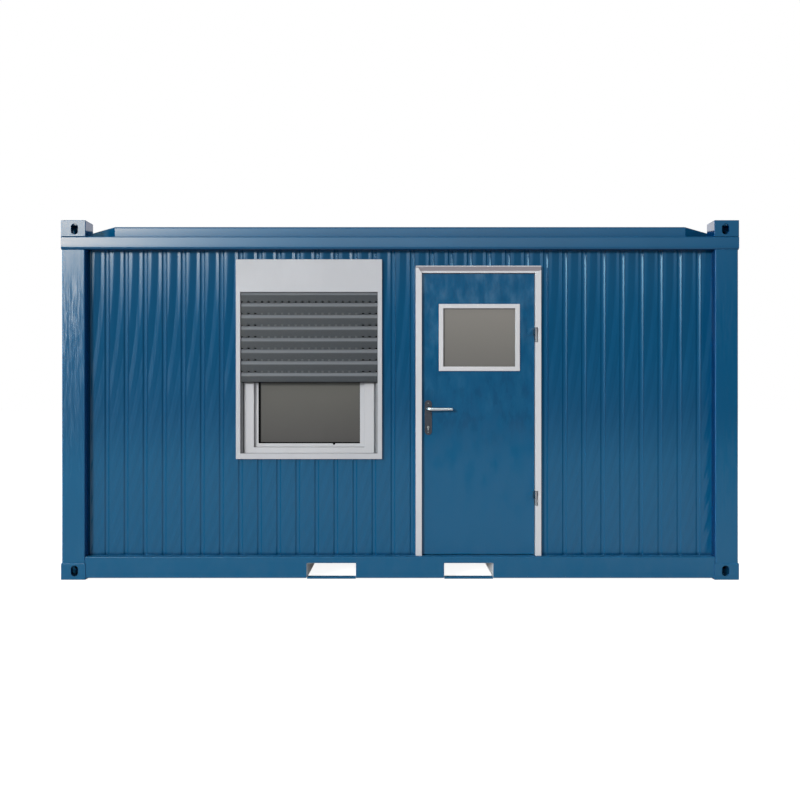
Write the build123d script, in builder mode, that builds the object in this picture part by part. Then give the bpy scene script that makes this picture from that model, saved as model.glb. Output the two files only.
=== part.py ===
from build123d import *
from math import atan2, ceil, degrees, floor
import os

os.makedirs("parts", exist_ok=True)

# A sixteen-foot site cabin in millimetres. X runs along the long front, Y from the front to the
# back and Z up; the origin is on the ground under the middle of the cabin.

# Overall size
LENGTH = 4885.0
WIDTH = 2435.0
HEIGHT = 2591.0

# Corner castings
CASTING_X = 178.0
CASTING_Y = 162.0
CASTING_Z = 118.0
CASTING_WALL = 18.0
CASTING_EDGE = 4.0
HAND_HOLE_WIDTH = 52.0
HAND_HOLE_HEIGHT = 79.0
HAND_HOLE_FROM_END = 98.0
HAND_HOLE_FROM_LEVEL = 64.0
TWISTLOCK_SLOT_LENGTH = 124.0
TWISTLOCK_SLOT_WIDTH = 63.5

# Steel frame
FRAME_INSET = 5.0
POST_SIZE = 167.0
POST_WALL = 6.0
POST_BEND = 9.0
BOTTOM_RAIL_LIFT = 12.0
BOTTOM_RAIL_HEIGHT = 153.0
BOTTOM_RAIL_WALL = 5.0
TOP_RAIL_HEIGHT = 93.0
TOP_RAIL_WALL = 8.0
TOP_RAIL_LOWER_BEND = 18.0
TOP_RAIL_UPPER_BEND = 8.0

# Fork-lift pockets, open underneath except for a strap behind each mouth
POCKET_WIDTH = 352.0
POCKET_ROOF_Z = 119.0
POCKET_SPACING = 990.0
POCKET_WALL = 8.0
POCKET_STRAP_Z = 7.0
POCKET_STRAP_THICKNESS = 12.0
POCKET_STRAP_DEPTH = 60.0

# Floor, ceiling and roof
FLOOR_THICKNESS = 28.0
JOIST_WIDTH = 45.0
JOIST_HEIGHT = 100.0
JOIST_PITCH = 400.0
JOIST_MARGIN = 60.0
CEILING_THICKNESS = 20.0
ROOF_THICKNESS = 73.0
ROOF_SETBACK = 50.0
ROOF_CORNER_CUT = 323.0
ROOF_EDGE = 6.0
GUSSET_LEG = 160.0
GUSSET_THICKNESS = 8.0

# Walls: vertical grooves in wide flats, with a board lining inside
CLADDING_SETBACK = 80.0
LINING_THICKNESS = 12.0
GROOVE_PITCH = 139.06
GROOVE_MOUTH = 35.0
GROOVE_FLOOR = 17.0
GROOVE_DEPTH = 9.5
GROOVE_PHASE = 87.6

# Window with a roller shutter
WINDOW_CENTRE_X = -661.0
WINDOW_SILL_Z = 907.0
WINDOW_WIDTH = 998.0
WINDOW_HEADER = 84.0
SURROUND_SIDE = 31.0
SURROUND_BOTTOM = 40.0
SURROUND_PROUD = 30.0
LINER_THICKNESS = 8.0
SHUTTER_BOX_HEIGHT = 208.0
SHUTTER_BOX_WALL = 8.0
SHUTTER_BOX_FLANGE_TOP = 28.0
GUIDE_WIDTH = 14.0
GUIDE_FROM_CURTAIN = 6.0
CURTAIN_FROM_SURROUND = 11.0
CURTAIN_THICKNESS = 12.0
CURTAIN_CLEARANCE = 2.0
CURTAIN_DROP = 658.0
CURTAIN_BAR_HEIGHT = 55.0
SLAT_PITCH = 83.5
SLAT_JOINT_WIDTH = 8.0
SLAT_JOINT_DEPTH = 2.5
ROLL_RADIUS = 38.0
AXLE_RADIUS = 20.0
WINDOW_FRAME_SIDE = 100.0
WINDOW_FRAME_BOTTOM = 43.0
WINDOW_FRAME_TOP = 60.0
WINDOW_FRAME_DEPTH = 68.0
WINDOW_FRAME_SHOULDER = 27.0
WINDOW_FRAME_SHOULDER_DEPTH = 24.0
SASH_WIDTH = 36.0
SASH_RECESS = 30.0
SASH_DEPTH = 36.0
WINDOW_GLASS_THICKNESS = 22.0
WINDOW_GLASS_RECESS = 8.0

# Door, opening outward on hinges at its right edge
DOOR_CENTRE_X = 569.5
DOOR_WIDTH = 819.0
DOOR_HEADER = 111.0
DOOR_THICKNESS = 40.0
DOOR_FLOOR_GAP = 7.0
DOOR_GAP = 6.0
DOOR_FRAME_SIDE = 40.0
DOOR_FRAME_HEAD = 46.0
DOOR_FRAME_PROUD = 40.0
DOOR_FRAME_LIP = 6.0
DOOR_FRAME_SPLAY = 16.0
DOOR_FRAME_STRIP_RECESS = 6.0
DOOR_STOP_WIDTH = 15.0
THRESHOLD_HEIGHT = 15.0

# Door window
DOOR_WINDOW_OFFSET_X = 8.5
DOOR_WINDOW_FROM_TOP = 255.0
DOOR_WINDOW_WIDTH = 524.0
DOOR_WINDOW_HEIGHT = 423.0
DOOR_TRIM_WIDTH = 33.0
DOOR_TRIM_REBATE = 13.0
DOOR_TRIM_PROUD = 10.0
DOOR_GLASS_THICKNESS = 20.0

# Door handle and lock
HANDLE_FROM_EDGE = 46.0
HANDLE_Z = 1229.0
PLATE_WIDTH = 51.0
PLATE_HEIGHT = 253.0
PLATE_ABOVE_AXIS = 65.0
PLATE_THICKNESS = 8.0
SPINDLE_RADIUS = 6.0
SPINDLE_CLEARANCE = 1.0
LEVER_CLEARANCE = 0.5
LEVER_NECK_RADIUS = 10.0
LEVER_LENGTH = 178.0
LEVER_REACH_OUTSIDE = 50.0
LEVER_REACH_INSIDE = 37.0
LEVER_THICKNESS = 16.0
LEVER_ROOT_HEIGHT = 24.0
LEVER_TIP_HEIGHT = 17.0
LOCK_DROP = 131.0
LOCK_RADIUS = 8.5
LOCK_TAIL_WIDTH = 10.0
LOCK_HEIGHT = 33.0
LOCK_PROUD = 6.0

# Hinges: a pin on the frame half turns in the leaf half
HINGE_AXIS_FROM_EDGE = 11.0
HINGE_AXIS_OUT = 14.0
HINGE_RADIUS = 9.0
HINGE_HEIGHT = 100.0
HINGE_LOWER_Z = 581.0
HINGE_UPPER_FROM_TOP = 449.0
HINGE_SPLIT = 1.0
HINGE_PIN_RADIUS = 5.0
HINGE_PIN_CLEARANCE = 0.3
HINGE_PIN_LENGTH = 38.0
HINGE_PLATE_WIDTH = 40.0
HINGE_PLATE_THICKNESS = 4.0
HINGE_BLOCK_WIDTH = 12.0
HINGE_WEB_WIDTH = 23.0

# Places that several pieces share
END_X = LENGTH / 2
SIDE_Y = WIDTH / 2
INNER_X = END_X - FRAME_INSET - POST_SIZE
INNER_Y = SIDE_Y - FRAME_INSET - POST_SIZE
CASTING_INNER_X = END_X - CASTING_X
CASTING_INNER_Y = SIDE_Y - CASTING_Y
FLOOR_Z = BOTTOM_RAIL_LIFT + BOTTOM_RAIL_HEIGHT
ROOF_Z = HEIGHT - CASTING_Z
WALL_TOP_Z = ROOF_Z - TOP_RAIL_HEIGHT
CLADDING_X = END_X - CLADDING_SETBACK
CLADDING_Y = SIDE_Y - CLADDING_SETBACK
LINING_X = INNER_X + LINING_THICKNESS
LINING_Y = INNER_Y + LINING_THICKNESS
SIGNS = (-1, 1)


def centred(middle, size):
    """The (low, high) pair of a span about its middle."""
    return (middle - size / 2, middle + size / 2)


def behind(near, far):
    """The Y pair between two depths behind the cabin's front plane."""
    return (near - SIDE_Y, far - SIDE_Y)


def mirrored(side, near, far):
    """A pair on one side of the middle, from two distances to it."""
    return (near, far) if side > 0 else (-far, -near)


def block(x, y, z, mode=Mode.ADD):
    """A block in the part being built, between three (low, high) pairs."""
    with Locations((sum(x) / 2, sum(y) / 2, sum(z) / 2)):
        Box(x[1] - x[0], y[1] - y[0], z[1] - z[0], mode=mode)


def save(piece, name):
    """Label a finished piece and write it under its name."""
    piece.part.label = name
    export_step(piece.part, f"parts/{name}.step")


# Corner castings: hollow blocks with a hand hole in both outer sides and a twistlock slot

def casting_corners(low_z, outer_z):
    """Four castings in the part being built, with their slots in the plane outer_z."""
    for end in SIGNS:
        for side in SIGNS:
            x = mirrored(end, CASTING_INNER_X, END_X)
            y = mirrored(side, CASTING_INNER_Y, SIDE_Y)
            block(x, y, (low_z, low_z + CASTING_Z))
    outside = BuildPart._get_context().edges()
    fillet(outside, CASTING_EDGE)
    upward = 1 if outer_z > low_z else -1
    hole_z = outer_z - upward * HAND_HOLE_FROM_LEVEL
    hollow_x = CASTING_X - 2 * CASTING_WALL
    hollow_y = CASTING_Y - 2 * CASTING_WALL
    for end in SIGNS:
        for side in SIGNS:
            middle_x = end * (END_X - CASTING_X / 2)
            middle_y = side * (SIDE_Y - CASTING_Y / 2)
            x = centred(middle_x, hollow_x)
            y = centred(middle_y, hollow_y)
            block(x, y, (low_z + CASTING_WALL, low_z + CASTING_Z - CASTING_WALL), Mode.SUBTRACT)
            front_x = end * (END_X - HAND_HOLE_FROM_END)
            faces = (
                Plane((front_x, side * SIDE_Y, hole_z), (1, 0, 0), (0, side, 0)),
                Plane((end * END_X, middle_y, hole_z), (0, 1, 0), (end, 0, 0)),
            )
            for face in faces:
                with BuildSketch(face) as hand_hole:
                    SlotOverall(HAND_HOLE_HEIGHT, HAND_HOLE_WIDTH, rotation=90)
                extrude(hand_hole.sketch, -CASTING_X / 3, mode=Mode.SUBTRACT)
            with BuildSketch(Plane((middle_x, middle_y, outer_z), (1, 0, 0), (0, 0, upward))) as slot:
                SlotOverall(TWISTLOCK_SLOT_LENGTH, TWISTLOCK_SLOT_WIDTH)
            extrude(slot.sketch, -CASTING_Z / 3, mode=Mode.SUBTRACT)


with BuildPart() as castings_bottom:
    casting_corners(0, 0)
save(castings_bottom, "castings_bottom")

with BuildPart() as castings_top:
    casting_corners(ROOF_Z, HEIGHT)
save(castings_top, "castings_top")

# Corner posts: square tubes from the bottom castings to the top rails

with BuildPart() as corner_posts:
    with BuildSketch(Plane.XY.offset(CASTING_Z)):
        with GridLocations(2 * INNER_X + POST_SIZE, 2 * INNER_Y + POST_SIZE, 2, 2):
            RectangleRounded(POST_SIZE, POST_SIZE, POST_BEND)
            hollow = POST_SIZE - 2 * POST_WALL
            RectangleRounded(hollow, hollow, POST_BEND - POST_WALL, mode=Mode.SUBTRACT)
    extrude(amount=WALL_TOP_Z - CASTING_Z)
save(corner_posts, "corner_posts")

# Bottom rails: channels open to the inside, notched round the castings; the long ones are in
# three lengths, between and beside the fork pockets

POCKET_OUTER = POCKET_WIDTH + 2 * POCKET_WALL
POCKET_OUTER_Z = POCKET_ROOF_Z + POCKET_WALL
RAIL_OUTER_Y = SIDE_Y - FRAME_INSET
RAIL_OUTER_X = END_X - FRAME_INSET
RAIL_HOLLOW_Z = (BOTTOM_RAIL_LIFT + BOTTOM_RAIL_WALL, FLOOR_Z - BOTTOM_RAIL_WALL)

for side, rail_name in ((-1, "bottom_rail_front"), (1, "bottom_rail_back")):
    with BuildPart() as long_rail:
        rail_y = mirrored(side, INNER_Y, RAIL_OUTER_Y)
        hollow_y = mirrored(side, INNER_Y, RAIL_OUTER_Y - BOTTOM_RAIL_WALL)
        block((-CASTING_INNER_X, CASTING_INNER_X), rail_y, (BOTTOM_RAIL_LIFT, CASTING_Z))
        block((-INNER_X, INNER_X), rail_y, (CASTING_Z, FLOOR_Z))
        block((-INNER_X, INNER_X), hollow_y, RAIL_HOLLOW_Z, Mode.SUBTRACT)
        for pocket in SIGNS:
            pocket_x = centred(pocket * POCKET_SPACING / 2, POCKET_OUTER)
            block(pocket_x, rail_y, (0, FLOOR_Z), Mode.SUBTRACT)
    save(long_rail, rail_name)

with BuildPart() as bottom_rails_end:
    for end in SIGNS:
        rail_x = mirrored(end, INNER_X, RAIL_OUTER_X)
        hollow_x = mirrored(end, INNER_X, RAIL_OUTER_X - BOTTOM_RAIL_WALL)
        block(rail_x, (-CASTING_INNER_Y, CASTING_INNER_Y), (BOTTOM_RAIL_LIFT, CASTING_Z))
        block(rail_x, (-INNER_Y, INNER_Y), (CASTING_Z, FLOOR_Z), Mode.ADD)
        block(rail_x, mirrored(-1, INNER_Y, CASTING_INNER_Y), (CASTING_Z, FLOOR_Z), Mode.SUBTRACT)
        block(rail_x, mirrored(1, INNER_Y, CASTING_INNER_Y), (CASTING_Z, FLOOR_Z), Mode.SUBTRACT)
        block(hollow_x, (-CASTING_INNER_Y, CASTING_INNER_Y), RAIL_HOLLOW_Z, Mode.SUBTRACT)
save(bottom_rails_end, "bottom_rails_end")

# Fork pockets: two sides and a roof from front to back, with a strap across the bottom of each
# mouth and a header over it that carries the rail across

with BuildPart() as fork_pocket_sides:
    for pocket in SIGNS:
        for side in SIGNS:
            near_x = pocket * POCKET_SPACING / 2 + side * (POCKET_WIDTH + POCKET_WALL) / 2
            side_z = (BOTTOM_RAIL_LIFT, POCKET_ROOF_Z)
            block(centred(near_x, POCKET_WALL), (-RAIL_OUTER_Y, RAIL_OUTER_Y), side_z)
save(fork_pocket_sides, "fork_pocket_sides")

with BuildPart() as fork_pocket_roofs:
    for pocket in SIGNS:
        roof_x = centred(pocket * POCKET_SPACING / 2, POCKET_OUTER)
        block(roof_x, (-RAIL_OUTER_Y, RAIL_OUTER_Y), (POCKET_ROOF_Z, POCKET_OUTER_Z))
save(fork_pocket_roofs, "fork_pocket_roofs")

with BuildPart() as fork_pocket_straps:
    for pocket in SIGNS:
        for mouth in SIGNS:
            strap_x = centred(pocket * POCKET_SPACING / 2, POCKET_WIDTH)
            strap_y = mirrored(mouth, RAIL_OUTER_Y - POCKET_STRAP_DEPTH, RAIL_OUTER_Y)
            block(strap_x, strap_y, (POCKET_STRAP_Z, POCKET_STRAP_Z + POCKET_STRAP_THICKNESS))
save(fork_pocket_straps, "fork_pocket_straps")

with BuildPart() as fork_pocket_headers:
    for pocket in SIGNS:
        for mouth in SIGNS:
            header_x = centred(pocket * POCKET_SPACING / 2, POCKET_OUTER)
            header_y = mirrored(mouth, INNER_Y, RAIL_OUTER_Y)
            open_y = mirrored(mouth, INNER_Y, RAIL_OUTER_Y - BOTTOM_RAIL_WALL)
            block(header_x, header_y, (POCKET_OUTER_Z, FLOOR_Z))
            block(header_x, open_y, (POCKET_OUTER_Z, RAIL_HOLLOW_Z[1]), Mode.SUBTRACT)
save(fork_pocket_headers, "fork_pocket_headers")

# Floor: joists inside the rails, clear of the fork pockets, under a boarded panel

JOIST_TOP_Z = FLOOR_Z - FLOOR_THICKNESS
INNER_BAY = POCKET_SPACING / 2 - POCKET_OUTER / 2 - JOIST_MARGIN
OUTER_BAY_START = POCKET_SPACING / 2 + POCKET_OUTER / 2 + JOIST_MARGIN
OUTER_BAY_END = INNER_X - JOIST_MARGIN
outer_steps = max(1, ceil((OUTER_BAY_END - OUTER_BAY_START) / JOIST_PITCH))
joist_step = (OUTER_BAY_END - OUTER_BAY_START) / outer_steps
joist_places = [0.0, -INNER_BAY, INNER_BAY]
for step in range(outer_steps + 1):
    joist_places.append(OUTER_BAY_START + step * joist_step)
    joist_places.append(-OUTER_BAY_START - step * joist_step)

with BuildPart() as floor_joists:
    joist_reach = RAIL_OUTER_Y - BOTTOM_RAIL_WALL
    for place in joist_places:
        joist_z = (JOIST_TOP_Z - JOIST_HEIGHT, JOIST_TOP_Z)
        block(centred(place, JOIST_WIDTH), (-joist_reach, joist_reach), joist_z)
save(floor_joists, "floor_joists")

with BuildPart() as floor_panel:
    block((-INNER_X, INNER_X), (-INNER_Y, INNER_Y), (JOIST_TOP_Z, FLOOR_Z))
save(floor_panel, "floor_panel")

# Top rails: channels open to the inside; the long ones run over the posts to both ends

TOP_HOLLOW_Z = (WALL_TOP_Z + TOP_RAIL_WALL, ROOF_Z - TOP_RAIL_WALL)

for side, rail_name in ((-1, "top_rail_front"), (1, "top_rail_back")):
    with BuildPart() as top_rail:
        block((-END_X, END_X), mirrored(side, INNER_Y, SIDE_Y), (WALL_TOP_Z, ROOF_Z))
        outer_edges = top_rail.edges().filter_by(Axis.X).group_by(Axis.Y)[0 if side < 0 else -1]
        fillet(outer_edges.sort_by(Axis.Z)[0], TOP_RAIL_LOWER_BEND)
        outer_face = top_rail.faces().filter_by(Axis.Y).sort_by(Axis.Y)[0 if side < 0 else -1]
        fillet(outer_face.edges().filter_by(Axis.X).sort_by(Axis.Z)[-1], TOP_RAIL_UPPER_BEND)
        hollow_x = (TOP_RAIL_WALL - END_X, END_X - TOP_RAIL_WALL)
        hollow_y = mirrored(side, INNER_Y, SIDE_Y - TOP_RAIL_WALL)
        block(hollow_x, hollow_y, TOP_HOLLOW_Z, Mode.SUBTRACT)
    save(top_rail, rail_name)

with BuildPart() as top_rails_end:
    for end in SIGNS:
        block(mirrored(end, INNER_X, END_X), (-INNER_Y, INNER_Y), (WALL_TOP_Z, ROOF_Z))
    for end_face in (top_rails_end.faces().sort_by(Axis.X)[0], top_rails_end.faces().sort_by(Axis.X)[-1]):
        long_edges = end_face.edges().filter_by(Axis.Y).sort_by(Axis.Z)
        fillet(long_edges[0], TOP_RAIL_LOWER_BEND)
    for end_face in (top_rails_end.faces().sort_by(Axis.X)[0], top_rails_end.faces().sort_by(Axis.X)[-1]):
        long_edges = end_face.edges().filter_by(Axis.Y).sort_by(Axis.Z)
        fillet(long_edges[-1], TOP_RAIL_UPPER_BEND)
    for end in SIGNS:
        hollow_x = mirrored(end, INNER_X, END_X - TOP_RAIL_WALL)
        block(hollow_x, (-INNER_Y, INNER_Y), TOP_HOLLOW_Z, Mode.SUBTRACT)
save(top_rails_end, "top_rails_end")

# Roof: a raised deck with its corners cut clear of the castings, on gussets between the rails

with BuildPart() as roof_gussets:
    with BuildSketch(Plane.XY.offset(ROOF_Z - GUSSET_THICKNESS)):
        for end in SIGNS:
            for side in SIGNS:
                corner = (end * INNER_X, side * INNER_Y)
                along = (end * (INNER_X - GUSSET_LEG), side * INNER_Y)
                across = (end * INNER_X, side * (INNER_Y - GUSSET_LEG))
                with BuildLine():
                    Polyline(corner, along, across, close=True)
                make_face()
    extrude(amount=GUSSET_THICKNESS)
save(roof_gussets, "roof_gussets")

with BuildPart() as roof_panel:
    with BuildSketch(Plane.XY.offset(ROOF_Z)) as roof_plan:
        Rectangle(LENGTH - 2 * ROOF_SETBACK, WIDTH - 2 * ROOF_SETBACK)
        chamfer(roof_plan.vertices(), ROOF_CORNER_CUT)
    extrude(amount=ROOF_THICKNESS)
    fillet(roof_panel.faces().sort_by(Axis.Z)[-1].edges(), ROOF_EDGE)
save(roof_panel, "roof_panel")

with BuildPart() as ceiling_panel:
    ceiling_z = (WALL_TOP_Z, WALL_TOP_Z + CEILING_THICKNESS)
    block((-INNER_X, INNER_X), (-INNER_Y, INNER_Y), ceiling_z)
save(ceiling_panel, "ceiling_panel")

# Walls: grooved panels between the posts, from the bottom rails up to the top rails

GROOVE_ANGLE = degrees(atan2(GROOVE_DEPTH, (GROOVE_MOUTH - GROOVE_FLOOR) / 2))
WALL_Z = (FLOOR_Z, WALL_TOP_Z)


def groove_places(phase, reach):
    """The groove centres at the wall's pitch, out to a little past its edges."""
    first = ceil((-reach - GROOVE_MOUTH / 2 - phase) / GROOVE_PITCH)
    last = floor((reach + GROOVE_MOUTH / 2 - phase) / GROOVE_PITCH)
    return [phase + GROOVE_PITCH * count for count in range(first, last + 1)]


def cut_grooves(points, turn, z):
    """Grooves cut into the part being built, inward from points on its face, over the heights z."""
    with BuildSketch(Plane.XY.offset(z[0])) as grooves:
        with Locations(*points):
            Trapezoid(
                GROOVE_MOUTH,
                GROOVE_DEPTH,
                GROOVE_ANGLE,
                rotation=turn,
                align=(Align.CENTER, Align.MIN),
            )
    extrude(grooves.sketch, z[1] - z[0], mode=Mode.SUBTRACT)


WINDOW_X = centred(WINDOW_CENTRE_X, WINDOW_WIDTH)
LINER_X = (WINDOW_X[0] - LINER_THICKNESS, WINDOW_X[1] + LINER_THICKNESS)
LINER_Z = (WINDOW_SILL_Z - LINER_THICKNESS, WALL_TOP_Z - WINDOW_HEADER)
WINDOW_Z = (WINDOW_SILL_Z, LINER_Z[1] - SHUTTER_BOX_WALL - SHUTTER_BOX_HEIGHT)
DOOR_FRAME_WIDTH = DOOR_WIDTH + 2 * DOOR_GAP + 2 * DOOR_FRAME_SIDE
DOOR_FRAME_X = centred(DOOR_CENTRE_X, DOOR_FRAME_WIDTH)
DOOR_FRAME_Z = (FLOOR_Z, WALL_TOP_Z - DOOR_HEADER)
REBATE_TOP_Z = DOOR_FRAME_Z[1] - DOOR_FRAME_HEAD
DOOR_Z = (FLOOR_Z + DOOR_FLOOR_GAP, REBATE_TOP_Z - DOOR_GAP)

front_walls = {
    "front_wall_left": ((-INNER_X, LINER_X[0]), WALL_Z),
    "front_wall_below_window": (LINER_X, (FLOOR_Z, LINER_Z[0])),
    "front_wall_above_window": (LINER_X, (LINER_Z[1], WALL_TOP_Z)),
    "front_wall_middle": ((LINER_X[1], DOOR_FRAME_X[0]), WALL_Z),
    "front_wall_above_door": (DOOR_FRAME_X, (DOOR_FRAME_Z[1], WALL_TOP_Z)),
    "front_wall_right": ((DOOR_FRAME_X[1], INNER_X), WALL_Z),
}
front_grooves = groove_places(GROOVE_PHASE, INNER_X)
for wall_name, (wall_x, wall_z) in front_walls.items():
    with BuildPart() as front_wall:
        block(wall_x, (-CLADDING_Y, -LINING_Y), wall_z)
        low = wall_x[0] - GROOVE_MOUTH / 2
        high = wall_x[1] + GROOVE_MOUTH / 2
        cut_grooves([(x, -CLADDING_Y) for x in front_grooves if low < x < high], 0, wall_z)
    save(front_wall, wall_name)

with BuildPart() as back_wall:
    block((-INNER_X, INNER_X), (LINING_Y, CLADDING_Y), WALL_Z)
    cut_grooves([(-x, CLADDING_Y) for x in front_grooves], 180, WALL_Z)
save(back_wall, "back_wall")

for end, wall_name in ((-1, "end_wall_left"), (1, "end_wall_right")):
    with BuildPart() as end_wall:
        block(mirrored(end, LINING_X, CLADDING_X), (-INNER_Y, INNER_Y), WALL_Z)
        cut_grooves([(end * CLADDING_X, y) for y in groove_places(0, INNER_Y)], end * 90, WALL_Z)
    save(end_wall, wall_name)

with BuildPart() as lining_front:
    lining_y = (-LINING_Y, -INNER_Y)
    block((-INNER_X, INNER_X), lining_y, WALL_Z)
    block(LINER_X, lining_y, LINER_Z, Mode.SUBTRACT)
    block(DOOR_FRAME_X, lining_y, DOOR_FRAME_Z, Mode.SUBTRACT)
save(lining_front, "lining_front")

with BuildPart() as lining_back:
    block((-INNER_X, INNER_X), (INNER_Y, LINING_Y), WALL_Z)
save(lining_back, "lining_back")

with BuildPart() as linings_end:
    for end in SIGNS:
        block(mirrored(end, INNER_X, LINING_X), (-INNER_Y, INNER_Y), WALL_Z)
save(linings_end, "linings_end")

# Window surround: a proud flange and a liner through the wall, with the shutter box on top

WALL_DEPTH = FRAME_INSET + POST_SIZE
SURROUND_DEPTH = CLADDING_SETBACK - SURROUND_PROUD
BOX_Z = (WINDOW_Z[1] + SHUTTER_BOX_WALL, WINDOW_Z[1] + SHUTTER_BOX_HEIGHT)
CURTAIN_NEAR = SURROUND_DEPTH + CURTAIN_FROM_SURROUND
CURTAIN_FAR = CURTAIN_NEAR + CURTAIN_THICKNESS
CURTAIN_Y = behind(CURTAIN_NEAR, CURTAIN_FAR)
CURTAIN_SLOT_Y = (CURTAIN_Y[0] - CURTAIN_CLEARANCE, CURTAIN_Y[1] + CURTAIN_CLEARANCE)
CURTAIN_X = (WINDOW_X[0] + CURTAIN_CLEARANCE, WINDOW_X[1] - CURTAIN_CLEARANCE)
GUIDE_NEAR = CURTAIN_FAR + GUIDE_FROM_CURTAIN
FRAME_FAR = WALL_DEPTH
FRAME_NEAR = FRAME_FAR - WINDOW_FRAME_DEPTH
SHOULDER_NEAR = FRAME_NEAR + WINDOW_FRAME_SHOULDER_DEPTH

with BuildPart() as window_surround:
    flange_x = (WINDOW_X[0] - SURROUND_SIDE, WINDOW_X[1] + SURROUND_SIDE)
    flange_z = (WINDOW_Z[0] - SURROUND_BOTTOM, BOX_Z[1] + SHUTTER_BOX_FLANGE_TOP)
    block(flange_x, behind(SURROUND_DEPTH, CLADDING_SETBACK), flange_z)
    block(LINER_X, behind(CLADDING_SETBACK, WALL_DEPTH), LINER_Z)
    block(WINDOW_X, behind(SURROUND_DEPTH, WALL_DEPTH), WINDOW_Z, Mode.SUBTRACT)
    box_y = behind(SURROUND_DEPTH + SHUTTER_BOX_WALL, WALL_DEPTH - SHUTTER_BOX_WALL)
    block(WINDOW_X, box_y, BOX_Z, Mode.SUBTRACT)
    block(WINDOW_X, CURTAIN_SLOT_Y, (WINDOW_Z[1], BOX_Z[0]), Mode.SUBTRACT)
save(window_surround, "window_surround")

with BuildPart() as shutter_guides:
    guide_y = behind(GUIDE_NEAR, SHOULDER_NEAR)
    block((WINDOW_X[0], WINDOW_X[0] + GUIDE_WIDTH), guide_y, WINDOW_Z)
    block((WINDOW_X[1] - GUIDE_WIDTH, WINDOW_X[1]), guide_y, WINDOW_Z)
save(shutter_guides, "shutter_guides")

# Shutter curtain: hangs part way down from its roll, with a joint between each pair of slats

CURTAIN_BOTTOM_Z = WINDOW_Z[1] - CURTAIN_DROP
ROLL_Z = (BOX_Z[0] + BOX_Z[1]) / 2
ROLL_Y = CURTAIN_Y[1] + ROLL_RADIUS - CURTAIN_THICKNESS

with BuildPart() as shutter_curtain:
    block(CURTAIN_X, CURTAIN_Y, (CURTAIN_BOTTOM_Z, ROLL_Z))
    with BuildSketch(Plane.YZ.offset(CURTAIN_X[0])):
        with Locations((ROLL_Y, ROLL_Z)):
            Circle(ROLL_RADIUS)
    extrude(amount=CURTAIN_X[1] - CURTAIN_X[0])
    with BuildSketch(Plane.YZ.offset(WINDOW_X[0])):
        with Locations((ROLL_Y, ROLL_Z)):
            Circle(AXLE_RADIUS)
    extrude(amount=WINDOW_X[1] - WINDOW_X[0])
    slat_joints = floor((CURTAIN_DROP - CURTAIN_BAR_HEIGHT) / SLAT_PITCH)
    for count in range(slat_joints + 1):
        joint_z = centred(CURTAIN_BOTTOM_Z + CURTAIN_BAR_HEIGHT + count * SLAT_PITCH, SLAT_JOINT_WIDTH)
        joint_y = (CURTAIN_Y[0], CURTAIN_Y[0] + SLAT_JOINT_DEPTH)
        block(CURTAIN_X, joint_y, joint_z, Mode.SUBTRACT)
save(shutter_curtain, "shutter_curtain")

# Window: fixed frame with a shoulder behind the guides, sash set back in it, and a glass unit

SASH_NEAR = FRAME_NEAR + SASH_RECESS
GLASS_NEAR = SASH_NEAR + WINDOW_GLASS_RECESS
SASH_X = (WINDOW_X[0] + WINDOW_FRAME_SIDE, WINDOW_X[1] - WINDOW_FRAME_SIDE)
SASH_Z = (WINDOW_Z[0] + WINDOW_FRAME_BOTTOM, WINDOW_Z[1] - WINDOW_FRAME_TOP)
GLASS_X = (SASH_X[0] + SASH_WIDTH, SASH_X[1] - SASH_WIDTH)
GLASS_Z = (SASH_Z[0] + SASH_WIDTH, SASH_Z[1] - SASH_WIDTH)

with BuildPart() as window_frame:
    face_x = (WINDOW_X[0] + WINDOW_FRAME_SHOULDER, WINDOW_X[1] - WINDOW_FRAME_SHOULDER)
    block(WINDOW_X, behind(SHOULDER_NEAR, FRAME_FAR), WINDOW_Z)
    block(face_x, behind(FRAME_NEAR, SHOULDER_NEAR), WINDOW_Z)
    block(SASH_X, behind(FRAME_NEAR, FRAME_FAR), SASH_Z, Mode.SUBTRACT)
save(window_frame, "window_frame")

with BuildPart() as window_sash:
    sash_y = behind(SASH_NEAR, SASH_NEAR + SASH_DEPTH)
    block(SASH_X, sash_y, SASH_Z)
    block(GLASS_X, sash_y, GLASS_Z, Mode.SUBTRACT)
save(window_sash, "window_sash")

with BuildPart() as window_glass:
    block(GLASS_X, behind(GLASS_NEAR, GLASS_NEAR + WINDOW_GLASS_THICKNESS), GLASS_Z)
save(window_glass, "window_glass")

# Door frame: a splayed, mitred lining round the doorway with a stop behind the leaf

DOOR_X = centred(DOOR_CENTRE_X, DOOR_WIDTH)
HANDLE_X = DOOR_X[0] + HANDLE_FROM_EDGE
HINGE_AXIS_X = DOOR_X[1] + HINGE_AXIS_FROM_EDGE
REBATE_X = (DOOR_X[0] - DOOR_GAP, DOOR_X[1] + DOOR_GAP)
DOOR_NEAR = CLADDING_SETBACK
DOOR_FAR = DOOR_NEAR + DOOR_THICKNESS
STOP_NEAR = DOOR_FAR + DOOR_GAP
STRIP_NEAR = DOOR_NEAR + DOOR_FRAME_STRIP_RECESS
LIP_NEAR = CLADDING_SETBACK - DOOR_FRAME_PROUD
SPLAY_FOOT = DOOR_FRAME_LIP + DOOR_FRAME_SPLAY


def doorway_face(inset):
    """A rectangle in the sketch being drawn: the frame's outline less a margin, open at the foot."""
    width = DOOR_FRAME_WIDTH - 2 * inset
    low = DOOR_FRAME_Z[0] - DOOR_FRAME_HEAD
    high = DOOR_FRAME_Z[1] - inset
    with Locations((DOOR_CENTRE_X, (low + high) / 2)):
        Rectangle(width, high - low)


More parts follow.
